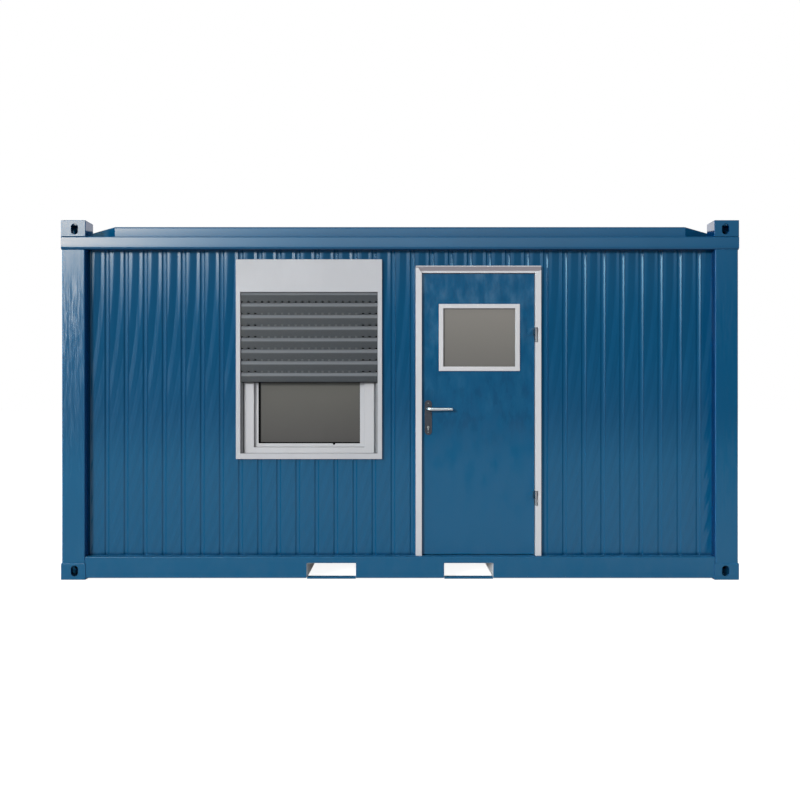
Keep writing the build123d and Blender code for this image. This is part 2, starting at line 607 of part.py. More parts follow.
with BuildPart() as door_frame:
    block(DOOR_FRAME_X, behind(LIP_NEAR, WALL_DEPTH), DOOR_FRAME_Z)
    with BuildSketch(Plane.XZ.offset(SIDE_Y - LIP_NEAR)):
        doorway_face(DOOR_FRAME_LIP)
    with BuildSketch(Plane.XZ.offset(SIDE_Y - STRIP_NEAR)):
        doorway_face(SPLAY_FOOT)
    loft(mode=Mode.SUBTRACT)
    block(REBATE_X, behind(STRIP_NEAR, STOP_NEAR), (0, REBATE_TOP_Z), Mode.SUBTRACT)
    passage_x = (REBATE_X[0] + DOOR_STOP_WIDTH, REBATE_X[1] - DOOR_STOP_WIDTH)
    passage_z = (0, REBATE_TOP_Z - DOOR_STOP_WIDTH)
    block(passage_x, behind(STOP_NEAR, WALL_DEPTH), passage_z, Mode.SUBTRACT)
save(door_frame, "door_frame")

with BuildPart() as threshold:
    threshold_z = (FLOOR_Z, FLOOR_Z + THRESHOLD_HEIGHT)
    block(passage_x, behind(STOP_NEAR, WALL_DEPTH), threshold_z)
save(threshold, "threshold")

# Door leaf, with a hole for its window and one for the lever's spindle

DOOR_WINDOW_CENTRE_X = DOOR_CENTRE_X + DOOR_WINDOW_OFFSET_X
DOOR_WINDOW_CENTRE_Z = DOOR_Z[1] - DOOR_WINDOW_FROM_TOP - DOOR_WINDOW_HEIGHT / 2
DOOR_HOLE_X = centred(DOOR_WINDOW_CENTRE_X, DOOR_WINDOW_WIDTH + 2 * DOOR_TRIM_REBATE)
DOOR_HOLE_Z = centred(DOOR_WINDOW_CENTRE_Z, DOOR_WINDOW_HEIGHT + 2 * DOOR_TRIM_REBATE)
DOOR_Y = behind(DOOR_NEAR, DOOR_FAR)
SPINDLE_HOLE = SPINDLE_RADIUS + SPINDLE_CLEARANCE


def rod(x, z, radius, y, mode=Mode.ADD):
    """A round bar along Y in the part being built."""
    with BuildSketch(Plane.XZ.offset(-y[1])) as section:
        with Locations((x, z)):
            Circle(radius)
    extrude(section.sketch, y[1] - y[0], mode=mode)


with BuildPart() as door_leaf:
    block(DOOR_X, DOOR_Y, DOOR_Z)
    block(DOOR_HOLE_X, DOOR_Y, DOOR_HOLE_Z, Mode.SUBTRACT)
    rod(HANDLE_X, HANDLE_Z, SPINDLE_HOLE, DOOR_Y, Mode.SUBTRACT)
save(door_leaf, "door_leaf")

GLASS_NEAR_DOOR = (DOOR_NEAR + DOOR_FAR - DOOR_GLASS_THICKNESS) / 2
GLASS_FAR_DOOR = GLASS_NEAR_DOOR + DOOR_GLASS_THICKNESS
TRIM_X = centred(DOOR_WINDOW_CENTRE_X, DOOR_WINDOW_WIDTH + 2 * DOOR_TRIM_WIDTH)
TRIM_Z = centred(DOOR_WINDOW_CENTRE_Z, DOOR_WINDOW_HEIGHT + 2 * DOOR_TRIM_WIDTH)
LIGHT_X = centred(DOOR_WINDOW_CENTRE_X, DOOR_WINDOW_WIDTH)
LIGHT_Z = centred(DOOR_WINDOW_CENTRE_Z, DOOR_WINDOW_HEIGHT)

with BuildPart() as door_window_trims:
    block(TRIM_X, behind(DOOR_NEAR - DOOR_TRIM_PROUD, DOOR_NEAR), TRIM_Z)
    block(DOOR_HOLE_X, behind(DOOR_NEAR, GLASS_NEAR_DOOR), DOOR_HOLE_Z)
    block(TRIM_X, behind(DOOR_FAR, DOOR_FAR + DOOR_TRIM_PROUD), TRIM_Z)
    block(DOOR_HOLE_X, behind(GLASS_FAR_DOOR, DOOR_FAR), DOOR_HOLE_Z)
    trim_y = behind(DOOR_NEAR - DOOR_TRIM_PROUD, DOOR_FAR + DOOR_TRIM_PROUD)
    block(LIGHT_X, trim_y, LIGHT_Z, Mode.SUBTRACT)
save(door_window_trims, "door_window_trims")

with BuildPart() as door_glass:
    block(DOOR_HOLE_X, behind(GLASS_NEAR_DOOR, GLASS_FAR_DOOR), DOOR_HOLE_Z)
save(door_glass, "door_glass")

# Handle plates with round ends, lock cylinders and a sprung lever on both sides of the leaf

PLATE_MIDDLE_Z = HANDLE_Z + PLATE_ABOVE_AXIS - PLATE_HEIGHT / 2
LOCK_Z = HANDLE_Z - LOCK_DROP
OUTER_PLATE_Y = behind(DOOR_NEAR - PLATE_THICKNESS, DOOR_NEAR)
INNER_PLATE_Y = behind(DOOR_FAR, DOOR_FAR + PLATE_THICKNESS)

with BuildPart() as handle_plates:
    for plate_y in (OUTER_PLATE_Y, INNER_PLATE_Y):
        with BuildSketch(Plane.XZ.offset(-plate_y[1])):
            with Locations((HANDLE_X, PLATE_MIDDLE_Z)):
                SlotOverall(PLATE_HEIGHT, PLATE_WIDTH, rotation=90)
            with Locations((HANDLE_X, HANDLE_Z)):
                Circle(SPINDLE_HOLE, mode=Mode.SUBTRACT)
        extrude(amount=PLATE_THICKNESS)
save(handle_plates, "handle_plates")

with BuildPart() as lock_cylinders:
    for lock_near in (OUTER_PLATE_Y[0] - LOCK_PROUD, INNER_PLATE_Y[1]):
        with BuildSketch(Plane.XZ.offset(-lock_near - LOCK_PROUD)):
            with Locations((HANDLE_X, LOCK_Z)):
                Circle(LOCK_RADIUS)
            with Locations((HANDLE_X, LOCK_Z + LOCK_RADIUS - LOCK_HEIGHT / 2)):
                SlotOverall(LOCK_HEIGHT, LOCK_TAIL_WIDTH, rotation=90)
        extrude(amount=LOCK_PROUD)
save(lock_cylinders, "lock_cylinders")


def lever_grip(y):
    """The tapered grip in the part being built, level from the spindle towards the hinges."""
    with BuildSketch(Plane.XZ.offset(-y[1])) as grip:
        with BuildLine():
            root_top = (HANDLE_X, HANDLE_Z + LEVER_ROOT_HEIGHT / 2)
            tip_top = (HANDLE_X + LEVER_LENGTH, HANDLE_Z + LEVER_TIP_HEIGHT / 2)
            tip_foot = (HANDLE_X + LEVER_LENGTH, HANDLE_Z - LEVER_TIP_HEIGHT / 2)
            root_foot = (HANDLE_X, HANDLE_Z - LEVER_ROOT_HEIGHT / 2)
            Polyline(root_top, tip_top, tip_foot, root_foot, close=True)
        make_face()
        with Locations((HANDLE_X, HANDLE_Z)):
            Circle(LEVER_ROOT_HEIGHT / 2)
        fillet(grip.vertices().sort_by(Axis.X)[-2:], LEVER_TIP_HEIGHT / 3)
    extrude(grip.sketch, y[1] - y[0])


with BuildPart() as door_lever:
    outer_start = OUTER_PLATE_Y[0] - LEVER_CLEARANCE
    inner_start = INNER_PLATE_Y[1] + LEVER_CLEARANCE
    outer_end = outer_start - LEVER_REACH_OUTSIDE
    inner_end = inner_start + LEVER_REACH_INSIDE
    rod(HANDLE_X, HANDLE_Z, SPINDLE_RADIUS, (outer_start, inner_start))
    rod(HANDLE_X, HANDLE_Z, LEVER_NECK_RADIUS, (outer_end, outer_start))
    rod(HANDLE_X, HANDLE_Z, LEVER_NECK_RADIUS, (inner_start, inner_end))
    lever_grip((outer_end, outer_end + LEVER_THICKNESS))
    lever_grip((inner_end - LEVER_THICKNESS, inner_end))
save(door_lever, "door_lever")

# Hinges: the lower half is welded to the frame and carries the pin, the upper half is on the leaf

HINGE_NEAR = DOOR_NEAR - HINGE_AXIS_OUT
HINGE_AXIS_Y = HINGE_NEAR - SIDE_Y
HINGE_PLACES = (HINGE_LOWER_Z, DOOR_Z[1] - HINGE_UPPER_FROM_TOP)


def upright(radius, z, mode=Mode.ADD):
    """A round bar on the hinge axis in the part being built."""
    with BuildSketch(Plane.XY.offset(z[0])) as section:
        with Locations((HINGE_AXIS_X, HINGE_AXIS_Y)):
            Circle(radius)
    extrude(section.sketch, z[1] - z[0], mode=mode)


with BuildPart() as hinge_frame_halves:
    for middle in HINGE_PLACES:
        half_z = (middle - HINGE_HEIGHT / 2, middle - HINGE_SPLIT / 2)
        upright(HINGE_RADIUS, half_z)
        upright(HINGE_PIN_RADIUS, (half_z[1], middle + HINGE_PIN_LENGTH))
        block_x = (HINGE_AXIS_X, HINGE_AXIS_X + HINGE_BLOCK_WIDTH)
        block(block_x, behind(HINGE_NEAR, STRIP_NEAR), half_z)
save(hinge_frame_halves, "hinge_frame_halves")

with BuildPart() as hinge_leaf_halves:
    for middle in HINGE_PLACES:
        half_z = (middle + HINGE_SPLIT / 2, middle + HINGE_HEIGHT / 2)
        upright(HINGE_RADIUS, half_z)
        web_x = (HINGE_AXIS_X - HINGE_WEB_WIDTH, HINGE_AXIS_X)
        block(web_x, behind(HINGE_NEAR, DOOR_NEAR), half_z)
        plate_x = (web_x[0] - HINGE_PLATE_WIDTH, web_x[0])
        block(plate_x, behind(DOOR_NEAR - HINGE_PLATE_THICKNESS, DOOR_NEAR), half_z)
        bore_z = (half_z[0], middle + HINGE_PIN_LENGTH + HINGE_PIN_CLEARANCE)
        upright(HINGE_PIN_RADIUS + HINGE_PIN_CLEARANCE, bore_z, Mode.SUBTRACT)
save(hinge_leaf_halves, "hinge_leaf_halves")
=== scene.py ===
import math

import bmesh
import bpy
import numpy
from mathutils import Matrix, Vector


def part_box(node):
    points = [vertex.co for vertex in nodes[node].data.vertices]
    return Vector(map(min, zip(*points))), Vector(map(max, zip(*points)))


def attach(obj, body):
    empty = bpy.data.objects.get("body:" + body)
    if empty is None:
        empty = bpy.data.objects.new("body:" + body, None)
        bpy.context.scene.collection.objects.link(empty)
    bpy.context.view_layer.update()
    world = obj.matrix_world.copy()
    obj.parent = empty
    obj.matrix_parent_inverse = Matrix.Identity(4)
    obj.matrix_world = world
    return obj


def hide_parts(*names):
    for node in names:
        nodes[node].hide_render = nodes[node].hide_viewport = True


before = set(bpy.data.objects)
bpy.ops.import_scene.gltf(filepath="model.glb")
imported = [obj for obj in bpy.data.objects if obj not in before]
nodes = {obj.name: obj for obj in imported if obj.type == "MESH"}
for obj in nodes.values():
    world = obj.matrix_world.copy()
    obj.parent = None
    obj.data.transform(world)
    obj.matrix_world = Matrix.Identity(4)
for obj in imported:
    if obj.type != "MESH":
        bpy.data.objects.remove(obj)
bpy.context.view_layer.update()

# A sixteen-foot site cabin: blue steel frame and ribbed cladding, roller-shuttered window, steel
# door. Metres; X runs along the front, Y from the front to the back, Z up.

FRONT_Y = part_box("top_rail_front")[0].y
END_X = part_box("castings_top")[1].x
WALL_LOW_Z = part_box("back_wall")[0].z
WALL_TOP_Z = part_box("back_wall")[1].z
CLADDING_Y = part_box("back_wall")[1].y
CLADDING_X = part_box("end_wall_right")[1].x

GROOVE_PITCH = 0.13906
GROOVE_MOUTH = 0.035
GROOVE_FLOOR = 0.017
GROOVE_DEPTH = 0.0095
GROOVE_BEND = 0.003
GROOVE_BEND_STEPS = 3
FRONT_GROOVE_PHASE = 0.0876

EASED_ANGLE = 30
TUBE_STEPS = 24


# Mesh making

def linked(name, data):
    """A new object in the scene, with its data."""
    thing = bpy.data.objects.new(name, data)
    bpy.context.scene.collection.objects.link(thing)
    return thing


def made_from(name, shape):
    """A new object from a bmesh, which is used up."""
    mesh = bpy.data.meshes.new(name)
    shape.to_mesh(mesh)
    shape.free()
    return linked(name, mesh)


def smoothed(piece, angle):
    """The piece shaded smooth across bends gentler than an angle."""
    mesh = piece.data
    mesh.polygons.foreach_set("use_smooth", [True] * len(mesh.polygons))
    mesh.set_sharp_from_angle(angle=math.radians(angle))
    return piece


def applied(piece):
    """The piece with its modifiers made part of its mesh."""
    graph = bpy.context.evaluated_depsgraph_get()
    mesh = bpy.data.meshes.new_from_object(piece.evaluated_get(graph), depsgraph=graph)
    piece.modifiers.clear()
    piece.data = mesh
    mesh.name = piece.name
    return piece


def eased(piece, width, segments=2):
    """The piece with its sharp edges rounded."""
    smoothed(piece, EASED_ANGLE)
    bevel = piece.modifiers.new("eased edges", "BEVEL")
    bevel.width = width
    bevel.segments = segments
    bevel.limit_method = "ANGLE"
    bevel.angle_limit = math.radians(EASED_ANGLE)
    bevel.harden_normals = True
    return applied(piece)


def cad_copy(name, node_name):
    """A merged copy of a CAD node, with its flat faces whole again."""
    shape = bmesh.new()
    shape.from_mesh(nodes[node_name].data)
    bmesh.ops.remove_doubles(shape, verts=shape.verts, dist=1e-5)
    bmesh.ops.dissolve_limit(shape, angle_limit=math.radians(0.5), verts=shape.verts, edges=shape.edges)
    return made_from(name, shape)


def fitted(piece, finish, slot, *replaced, body="cabin"):
    """The piece painted with a finish, riding on a body, standing for CAD nodes."""
    if not piece.data.materials:
        piece.data.materials.append(finish)
    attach(piece, body)
    if replaced:
        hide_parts(*replaced)


def rounded(name, shape, width, finish, slot, *replaced, segments=2, body="cabin"):
    """A bmesh as one piece with its edges rounded, fitted."""
    fitted(eased(made_from(name, shape), width, segments), finish, slot, *replaced, body=body)


def dressed(node_name, finish, slot, width, segments=3, body="cabin", ending="_made"):
    """A CAD node's copy with its edges rounded, fitted in the node's place."""
    piece = eased(cad_copy(node_name + ending, node_name), width, segments)
    fitted(piece, finish, slot, node_name, body=body)


def skinned(rings, shape=None, closed=False):
    """A bmesh with faces from ring to ring of points, and over the end rings if not closed."""
    shape = shape or bmesh.new()
    rings = [[shape.verts.new(point) for point in ring] for ring in rings]
    faces = [] if closed else [shape.faces.new(rings[0]), shape.faces.new(rings[-1])]
    for start, end in zip(rings, rings[1:] + (rings[:1] if closed else [])):
        for index in range(len(start)):
            after = (index + 1) % len(start)
            faces.append(shape.faces.new((start[index], start[after], end[after], end[index])))
    bmesh.ops.recalc_face_normals(shape, faces=faces)
    return shape


def placed(first, second, level, along):
    """A point at a level along one axis and at two places on the others."""
    point = [first, second]
    point.insert("XYZ".index(along), level)
    return point


def prism(outline, low, high, along="Z", shape=None):
    """An outline drawn along an axis from low to high."""
    rings = [[placed(*point, level, along) for point in outline] for level in (low, high)]
    return skinned(rings, shape)


def slab(low, high, shape=None):
    """A block between two corners, whichever is lower."""
    outline = [(low[0], low[1]), (high[0], low[1]), (high[0], high[1]), (low[0], high[1])]
    return prism(outline, low[2], high[2], shape=shape)


def ring_frame(outer, inner, near, far, shape=None):
    """A rectangular ring between an outer and an inner (x0, z0, x1, z1), from near to far in Y."""
    rings = [
        [(x0, y, z0), (x1, y, z0), (x1, y, z1), (x0, y, z1)]
        for (x0, z0, x1, z1), y in ((outer, near), (inner, near), (inner, far), (outer, far))
    ]
    return skinned(rings, shape, closed=True)


def circle(steps):
    """The cosine and sine of even steps round a circle."""
    angles = [2 * math.pi * step / steps for step in range(steps)]
    return [(math.cos(angle), math.sin(angle)) for angle in angles]


def turned(profile, centre, along, steps, shape=None):
    """A profile of (radius, level) pairs turned about an axis."""
    rings = [
        [placed(centre[0] + radius * cos, centre[1] + radius * sin, level, along)
         for cos, sin in circle(steps)]
        for radius, level in profile
    ]
    return skinned(rings, shape)


def tube(stations, shape=None):
    """Upright oval rings joined: (centre, across, half width, half height) of each."""
    rings = [
        [Vector(centre) + (Vector(across) * width * cos + Vector((0, 0, height * sin)))
         for cos, sin in circle(TUBE_STEPS)]
        for centre, across, width, height in stations
    ]
    return skinned(rings, shape)


# Node trees

def calculated(operation):
    """A method that puts a maths node on a wire and other values."""
    return lambda wire, *others: wire.maths(operation, *others)


class Wire:
    """A node's output. Sums, ramps and blends of it add the nodes that work them out."""

    __add__ = calculated("ADD")
    __sub__ = calculated("SUBTRACT")
    __mul__ = calculated("MULTIPLY")
    __abs__ = calculated("ABSOLUTE")
    highest = calculated("MAXIMUM")

    def __init__(self, socket):
        self.socket = socket
        self.tree = socket.id_data

    def __rsub__(self, other):
        return made(self, "Math", {0: other, 1: self}, operation="SUBTRACT")

    def into(self, node, label):
        """Wires this output to a node's input."""
        self.tree.links.new(self.socket, node.inputs[label])

    def maths(self, operation, *others, clamp=False):
        """The result of a maths node on this and other values."""
        values = dict(enumerate((self, *others)))
        return made(self, "Math", values, operation=operation, use_clamp=clamp)

    def ramp(self, low, high, to_low=0.0, to_high=1.0, kind="SMOOTHSTEP"):
        """This value eased from one range to another."""
        values = {"From Min": low, "From Max": high, "To Min": to_low, "To Max": to_high}
        return made(self, "MapRange", {"Value": self, **values}, interpolation_type=kind)

    def pick(self, first, second):
        """A number between two, by this share."""
        return made(self, "Mix", {0: self, 2: first, 3: second}, data_type="FLOAT")

    def blend(self, first, second):
        """Two colours blended by this share."""
        colours = [part if isinstance(part, Wire) else (*part, 1) for part in (first, second)]
        values = {0: self, 6: colours[0], 7: colours[1]}
        return made(self, "Mix", values, 2, data_type="RGBA")

    def vector(self, operation, others=None, output=0):
        """The result of a vector maths node on this vector and its other inputs."""
        values = {0: self, **(others or {})}
        return made(self, "VectorMath", values, output, operation=operation)

    def parts(self):
        """This vector's X, Y and Z."""
        return [Wire(part) for part in put(self, "SeparateXYZ", {0: self}).outputs]

    def noise(self, stretch=None, detail=3.0, rough=0.55, seed=0.0):
        """Noise in this place, of one cycle a unit or stretched by one number or (x, y, z)."""
        laid = self
        if stretch:
            scale = (stretch,) * 3 if isinstance(stretch, float) else stretch
            values = {"Location": (seed, seed * 0.7, seed * 1.3), "Scale": scale}
            laid = made(self, "Mapping", {"Vector": self, **values})
        values = {"Vector": laid, "Scale": 1.0, "Detail": detail, "Roughness": rough}
        return made(self, "TexNoise", values)

    def through(self, group, **sockets):
        """The outputs of a shared group with this as its first input."""
        inputs = {label.title(): value for label, value in sockets.items()}
        node = put(self, "Group", {0: self, **inputs}, node_tree=group)
        return [Wire(output) for output in node.outputs]


def put(owner, kind, sockets=None, **settings):
    """A new node in a tree, or in a wire's, with its inputs and its settings."""
    tree = owner.tree if isinstance(owner, Wire) else owner
    prefix = "" if "Node" in kind else tree.bl_idname.removesuffix("Tree")
    node = tree.nodes.new(prefix + kind)
    for label, value in settings.items():
        setattr(node, label, value)
    for label, value in (sockets or {}).items():
        if isinstance(value, Wire):
            value.into(node, label)
        else:
            node.inputs[label].default_value = value
    return node


def made(owner, kind, sockets=None, output=0, **settings):
    """An output of a new node."""
    return Wire(put(owner, kind, sockets, **settings).outputs[output])


def grouped(name, inputs, **outputs):
    """Makes a node group of a function, which takes the group's inputs and gives its outputs.
    Each of them has a kind of socket, or an input the number that it starts at."""
    def build(work):
        kind = "GeometryNodeTree" if "Geometry" in inputs else "ShaderNodeTree"
        tree = bpy.data.node_groups.new(name, kind)
        for label, start in inputs.items():
            number = {int: "Int", float: "Float"}.get(type(start))
            socket_type = "NodeSocket" + (number or start)
            socket = tree.interface.new_socket(label, in_out="INPUT", socket_type=socket_type)
            if number:
                socket.default_value = start
        for label, output in outputs.items():
            tree.interface.new_socket(label, in_out="OUTPUT", socket_type="NodeSocket" + output)
        given = tree.nodes.new("NodeGroupInput").outputs
        result = tree.nodes.new("NodeGroupOutput")
        for label, wire in zip(outputs, work(*[Wire(given[label]) for label in inputs])):
            wire.into(result, label)
        return tree
    return build


# Geometry Nodes: rows of one item, and a weld bead

def copied(item, points, **sockets):
    """A copy of an item at each point, as real mesh."""
    values = {"Points": points, "Instance": item, **sockets}
    copies = made(item, "InstanceOnPoints", values)
    return made(item, "RealizeInstances", {"Geometry": copies})


@grouped(
    "rows",
    {"Geometry": "Geometry", "Count": 2, "Step": "Vector", "Rows": 1, "Row Step": "Vector",
     "Finish": "Material"},
    Geometry="Geometry",
)
def ROWS(item, count, step, rows, row_step, finish):
    """Copies of the object's own mesh at the crossings of two even rows."""
    along = made(item, "MeshLine", {"Count": count, "Offset": step})
    across = made(item, "MeshLine", {"Count": rows, "Offset": row_step})
    whole = copied(item, copied(along, across))
    return [made(item, "SetMaterial", {"Geometry": whole, "Material": finish})]


@grouped(
    "weld bead",
    {"Geometry": "Geometry", "Spacing": 0.006, "Radius": 0.0045, "Finish": "Material"},
    Geometry="Geometry",
)
def BEAD(edges, spacing, radius, finish):
    """Overlapping drops of uneven size along the object's own edges, like a hand-laid weld."""
    line = made(edges, "MeshToCurve", {"Mesh": edges})
    spaced = {"Curve": line, "Length": spacing}
    points = made(edges, "ResampleCurve", spaced, mode="LENGTH")
    drop = made(edges, "MeshIcoSphere", {"Radius": radius, "Subdivisions": 2})
    uneven = {2: 0.85, 3: 1.15, "Seed": 7}
    size = made(edges, "FunctionNodeRandomValue", uneven, 1, data_type="FLOAT")
    whole = copied(drop, points, Scale=size)
    smooth = made(edges, "SetShadeSmooth", {"Geometry": whole})
    return [made(edges, "SetMaterial", {"Geometry": smooth, "Material": finish})]


def grown(piece, tree, **values):
    """The piece's mesh put through a geometry tree, with its named inputs set."""
    modifier = piece.modifiers.new("shape", "NODES")
    modifier.node_group = tree
    for item in tree.interface.items_tree:
        label = item.name.lower().replace(" ", "_")
        if item.in_out == "INPUT" and label in values:
            modifier[item.identifier] = values[label]
    return applied(piece)


def shaded(name, shape, angle, finish, slot, *replaced, body="cabin", **rows):
    """A bmesh as one piece, repeated in rows where they are given, smoothed and fitted."""
    piece = made_from(name, shape)
    if rows:
        grown(piece, ROWS, finish=finish, **rows)
    fitted(smoothed(piece, angle), finish, slot, *replaced, body=body)


# Shared effects of the finishes

def facing_of(owner):
    """The way the surface faces."""
    return made(owner, "NewGeometry", output="Normal")


@grouped("streaks", {"Place": "Vector", "Across": 28.0, "Along": 1.6}, Streak="Float", Cloud="Float")
def STREAKS(place, across, along):
    """Vertical streaks from rolling and rain, and broad cloudy patches."""
    scale = made(place, "CombineXYZ", {"X": across, "Y": across, "Z": along})
    fine = place.vector("MULTIPLY", {1: scale}).noise(None, 4.0, 0.62)
    cloud = place.noise((2.6, 2.6, 1.5), detail=4.0, seed=3.1)
    return fine.ramp(0.3, 0.7), cloud.ramp(0.32, 0.68)


@grouped("sheet lean", {"Lean": 0.0, "Sway": 0.0}, Normal="Vector")
def LEAN(lean, sway):
    """A shading normal leaning up and swaying sideways, as on thin sheet, where a face is square
    to the cabin."""
    facing = facing_of(lean)
    x, y, z = facing.parts()
    gate = abs(x).highest(abs(y)).ramp(0.93, 0.985)
    sideways = facing.vector("CROSS_PRODUCT", {1: (0.0, 0.0, 1.0)})
    swayed = sideways.vector("SCALE", {"Scale": sway * gate})
    upward = made(lean, "CombineXYZ", {"Z": lean * gate})
    total = facing.vector("ADD", {1: swayed}).vector("ADD", {1: upward})
    return [total.vector("NORMALIZE")]


@grouped(
    "ribbed flats",
    {"Place": "Vector", "Pitch": GROOVE_PITCH, "Phase": FRONT_GROOVE_PHASE, "Top": WALL_TOP_Z,
     "Slant": 0.65},
    Twist="Float", Crease="Float",
)
def RIBBING(place, pitch, phase, top, slant):
    """How a ribbed sheet's flats are twisted between their grooves, in slanting, steepening
    bands: 0 where a flat is true, below 0 where it turns the other way. Crease is painted
    shade in the fold beside a groove, even in the upper part and fading out lower down."""
    x, y, z = place.parts()
    on_end = abs(x).ramp(CLADDING_X - 0.06, CLADDING_X - 0.055)
    along_wall = on_end.pick(x - phase, y)
    drop = top - z
    own = along_wall.maths("DIVIDE", pitch).maths("FRACT")
    band = own + drop * drop * slant
    turned_part = band.ramp(0.30, 0.42) * band.ramp(0.66, 0.74, 1.0, 0.0)
    fine = (band * 34.0).maths("SINE").ramp(-0.9, 0.9)
    coarse = (band * 13.0).maths("SINE").ramp(-1.0, 1.0)
    lower_part = band.ramp(0.80, 0.9) * fine.maths("MULTIPLY_ADD", 0.3, coarse * 0.5)
    lower_part = lower_part * drop.ramp(0.0, 0.35, 0.1, 1.0)
    in_groove = own.ramp(0.085, 0.1, 1.0, 0.0).highest(own.ramp(0.895, 0.915))
    beside_groove = own.ramp(0.09, 0.105) * own.ramp(0.16, 0.18, 1.0, 0.0)
    turned_back = own.ramp(0.68, 0.76) * drop.ramp(0.0, 0.8, 0.55, 0.15)
    twisted = turned_part.highest(lower_part).highest(beside_groove) - turned_back
    stiffness = on_end.maths("MULTIPLY_ADD", -0.7, 1.0)
    twist = twisted * stiffness * (1.0 - in_groove)
    return twist, beside_groove * drop.ramp(0.9, 1.8, 0.45, 0.0)


@grouped("paint grain", {"Place": "Vector", "Peel": 0.00006}, Height="Float", Speck="Float")
def GRAIN(place, peel_depth):
    """Sprayed paint's orange peel and fine dust specks, as a height in metres and a tint."""
    peel = place.noise(260.0, detail=2.0)
    swell = place.noise((7.0, 7.0, 3.0), detail=2.0, seed=5.0)
    return peel * peel_depth + swell * 0.0009, peel.ramp(0.35, 0.65)


@grouped("edge wear", {"Place": "Vector", "Reach": 0.006}, Wear="Float")
def WEAR(place, reach):
    """Where an edge has been rubbed: the rounded normal leaves the flat one, broken by noise."""
    round_edge = made(place, "Bevel", {"Radius": reach}, samples=4)
    edge = round_edge.vector("DOT_PRODUCT", {1: facing_of(place)}, "Value").ramp(0.98, 0.8)
    return [edge * place.noise(38.0, 5.0).ramp(0.42, 0.62)]


@grouped("settled dust", {"Place": "Vector", "Splash Height": 0.5}, Dust="Float")
def DUST(place, splash_height):
    """Dust and splash: thick at the ground, thin above, and settled on level faces."""
    low = place.parts()[2].ramp(0.0, splash_height, 0.8, 0.0)
    level = facing_of(place).parts()[2].ramp(0.55, 0.95, 0.0, 0.7)
    spots = place.noise((9.0, 9.0, 5.0), 6.0, 0.6).ramp(0.3, 0.75)
    return [low.highest(level).maths("MULTIPLY", spots, clamp=True)]


# Finishes

def started(name, inputs=None):
    """A new material, its shader with some inputs set, and the place on the piece."""
    material = bpy.data.materials.new(name)
    material.use_nodes = True
    shader = material.node_tree.nodes["Principled BSDF"]
    for label, value in (inputs or {}).items():
        shader.inputs[label].default_value = value
    return material, shader, made(material.node_tree, "TexCoord", output="Object")


def bumped(shader, height, strength, normal=None):
    """A height in metres made a bump on a material's surface, over another normal."""
    values = {"Height": height, "Distance": 1.0, "Strength": strength}
    if normal:
        values["Normal"] = normal
    made(height, "Bump", values).into(shader, "Normal")


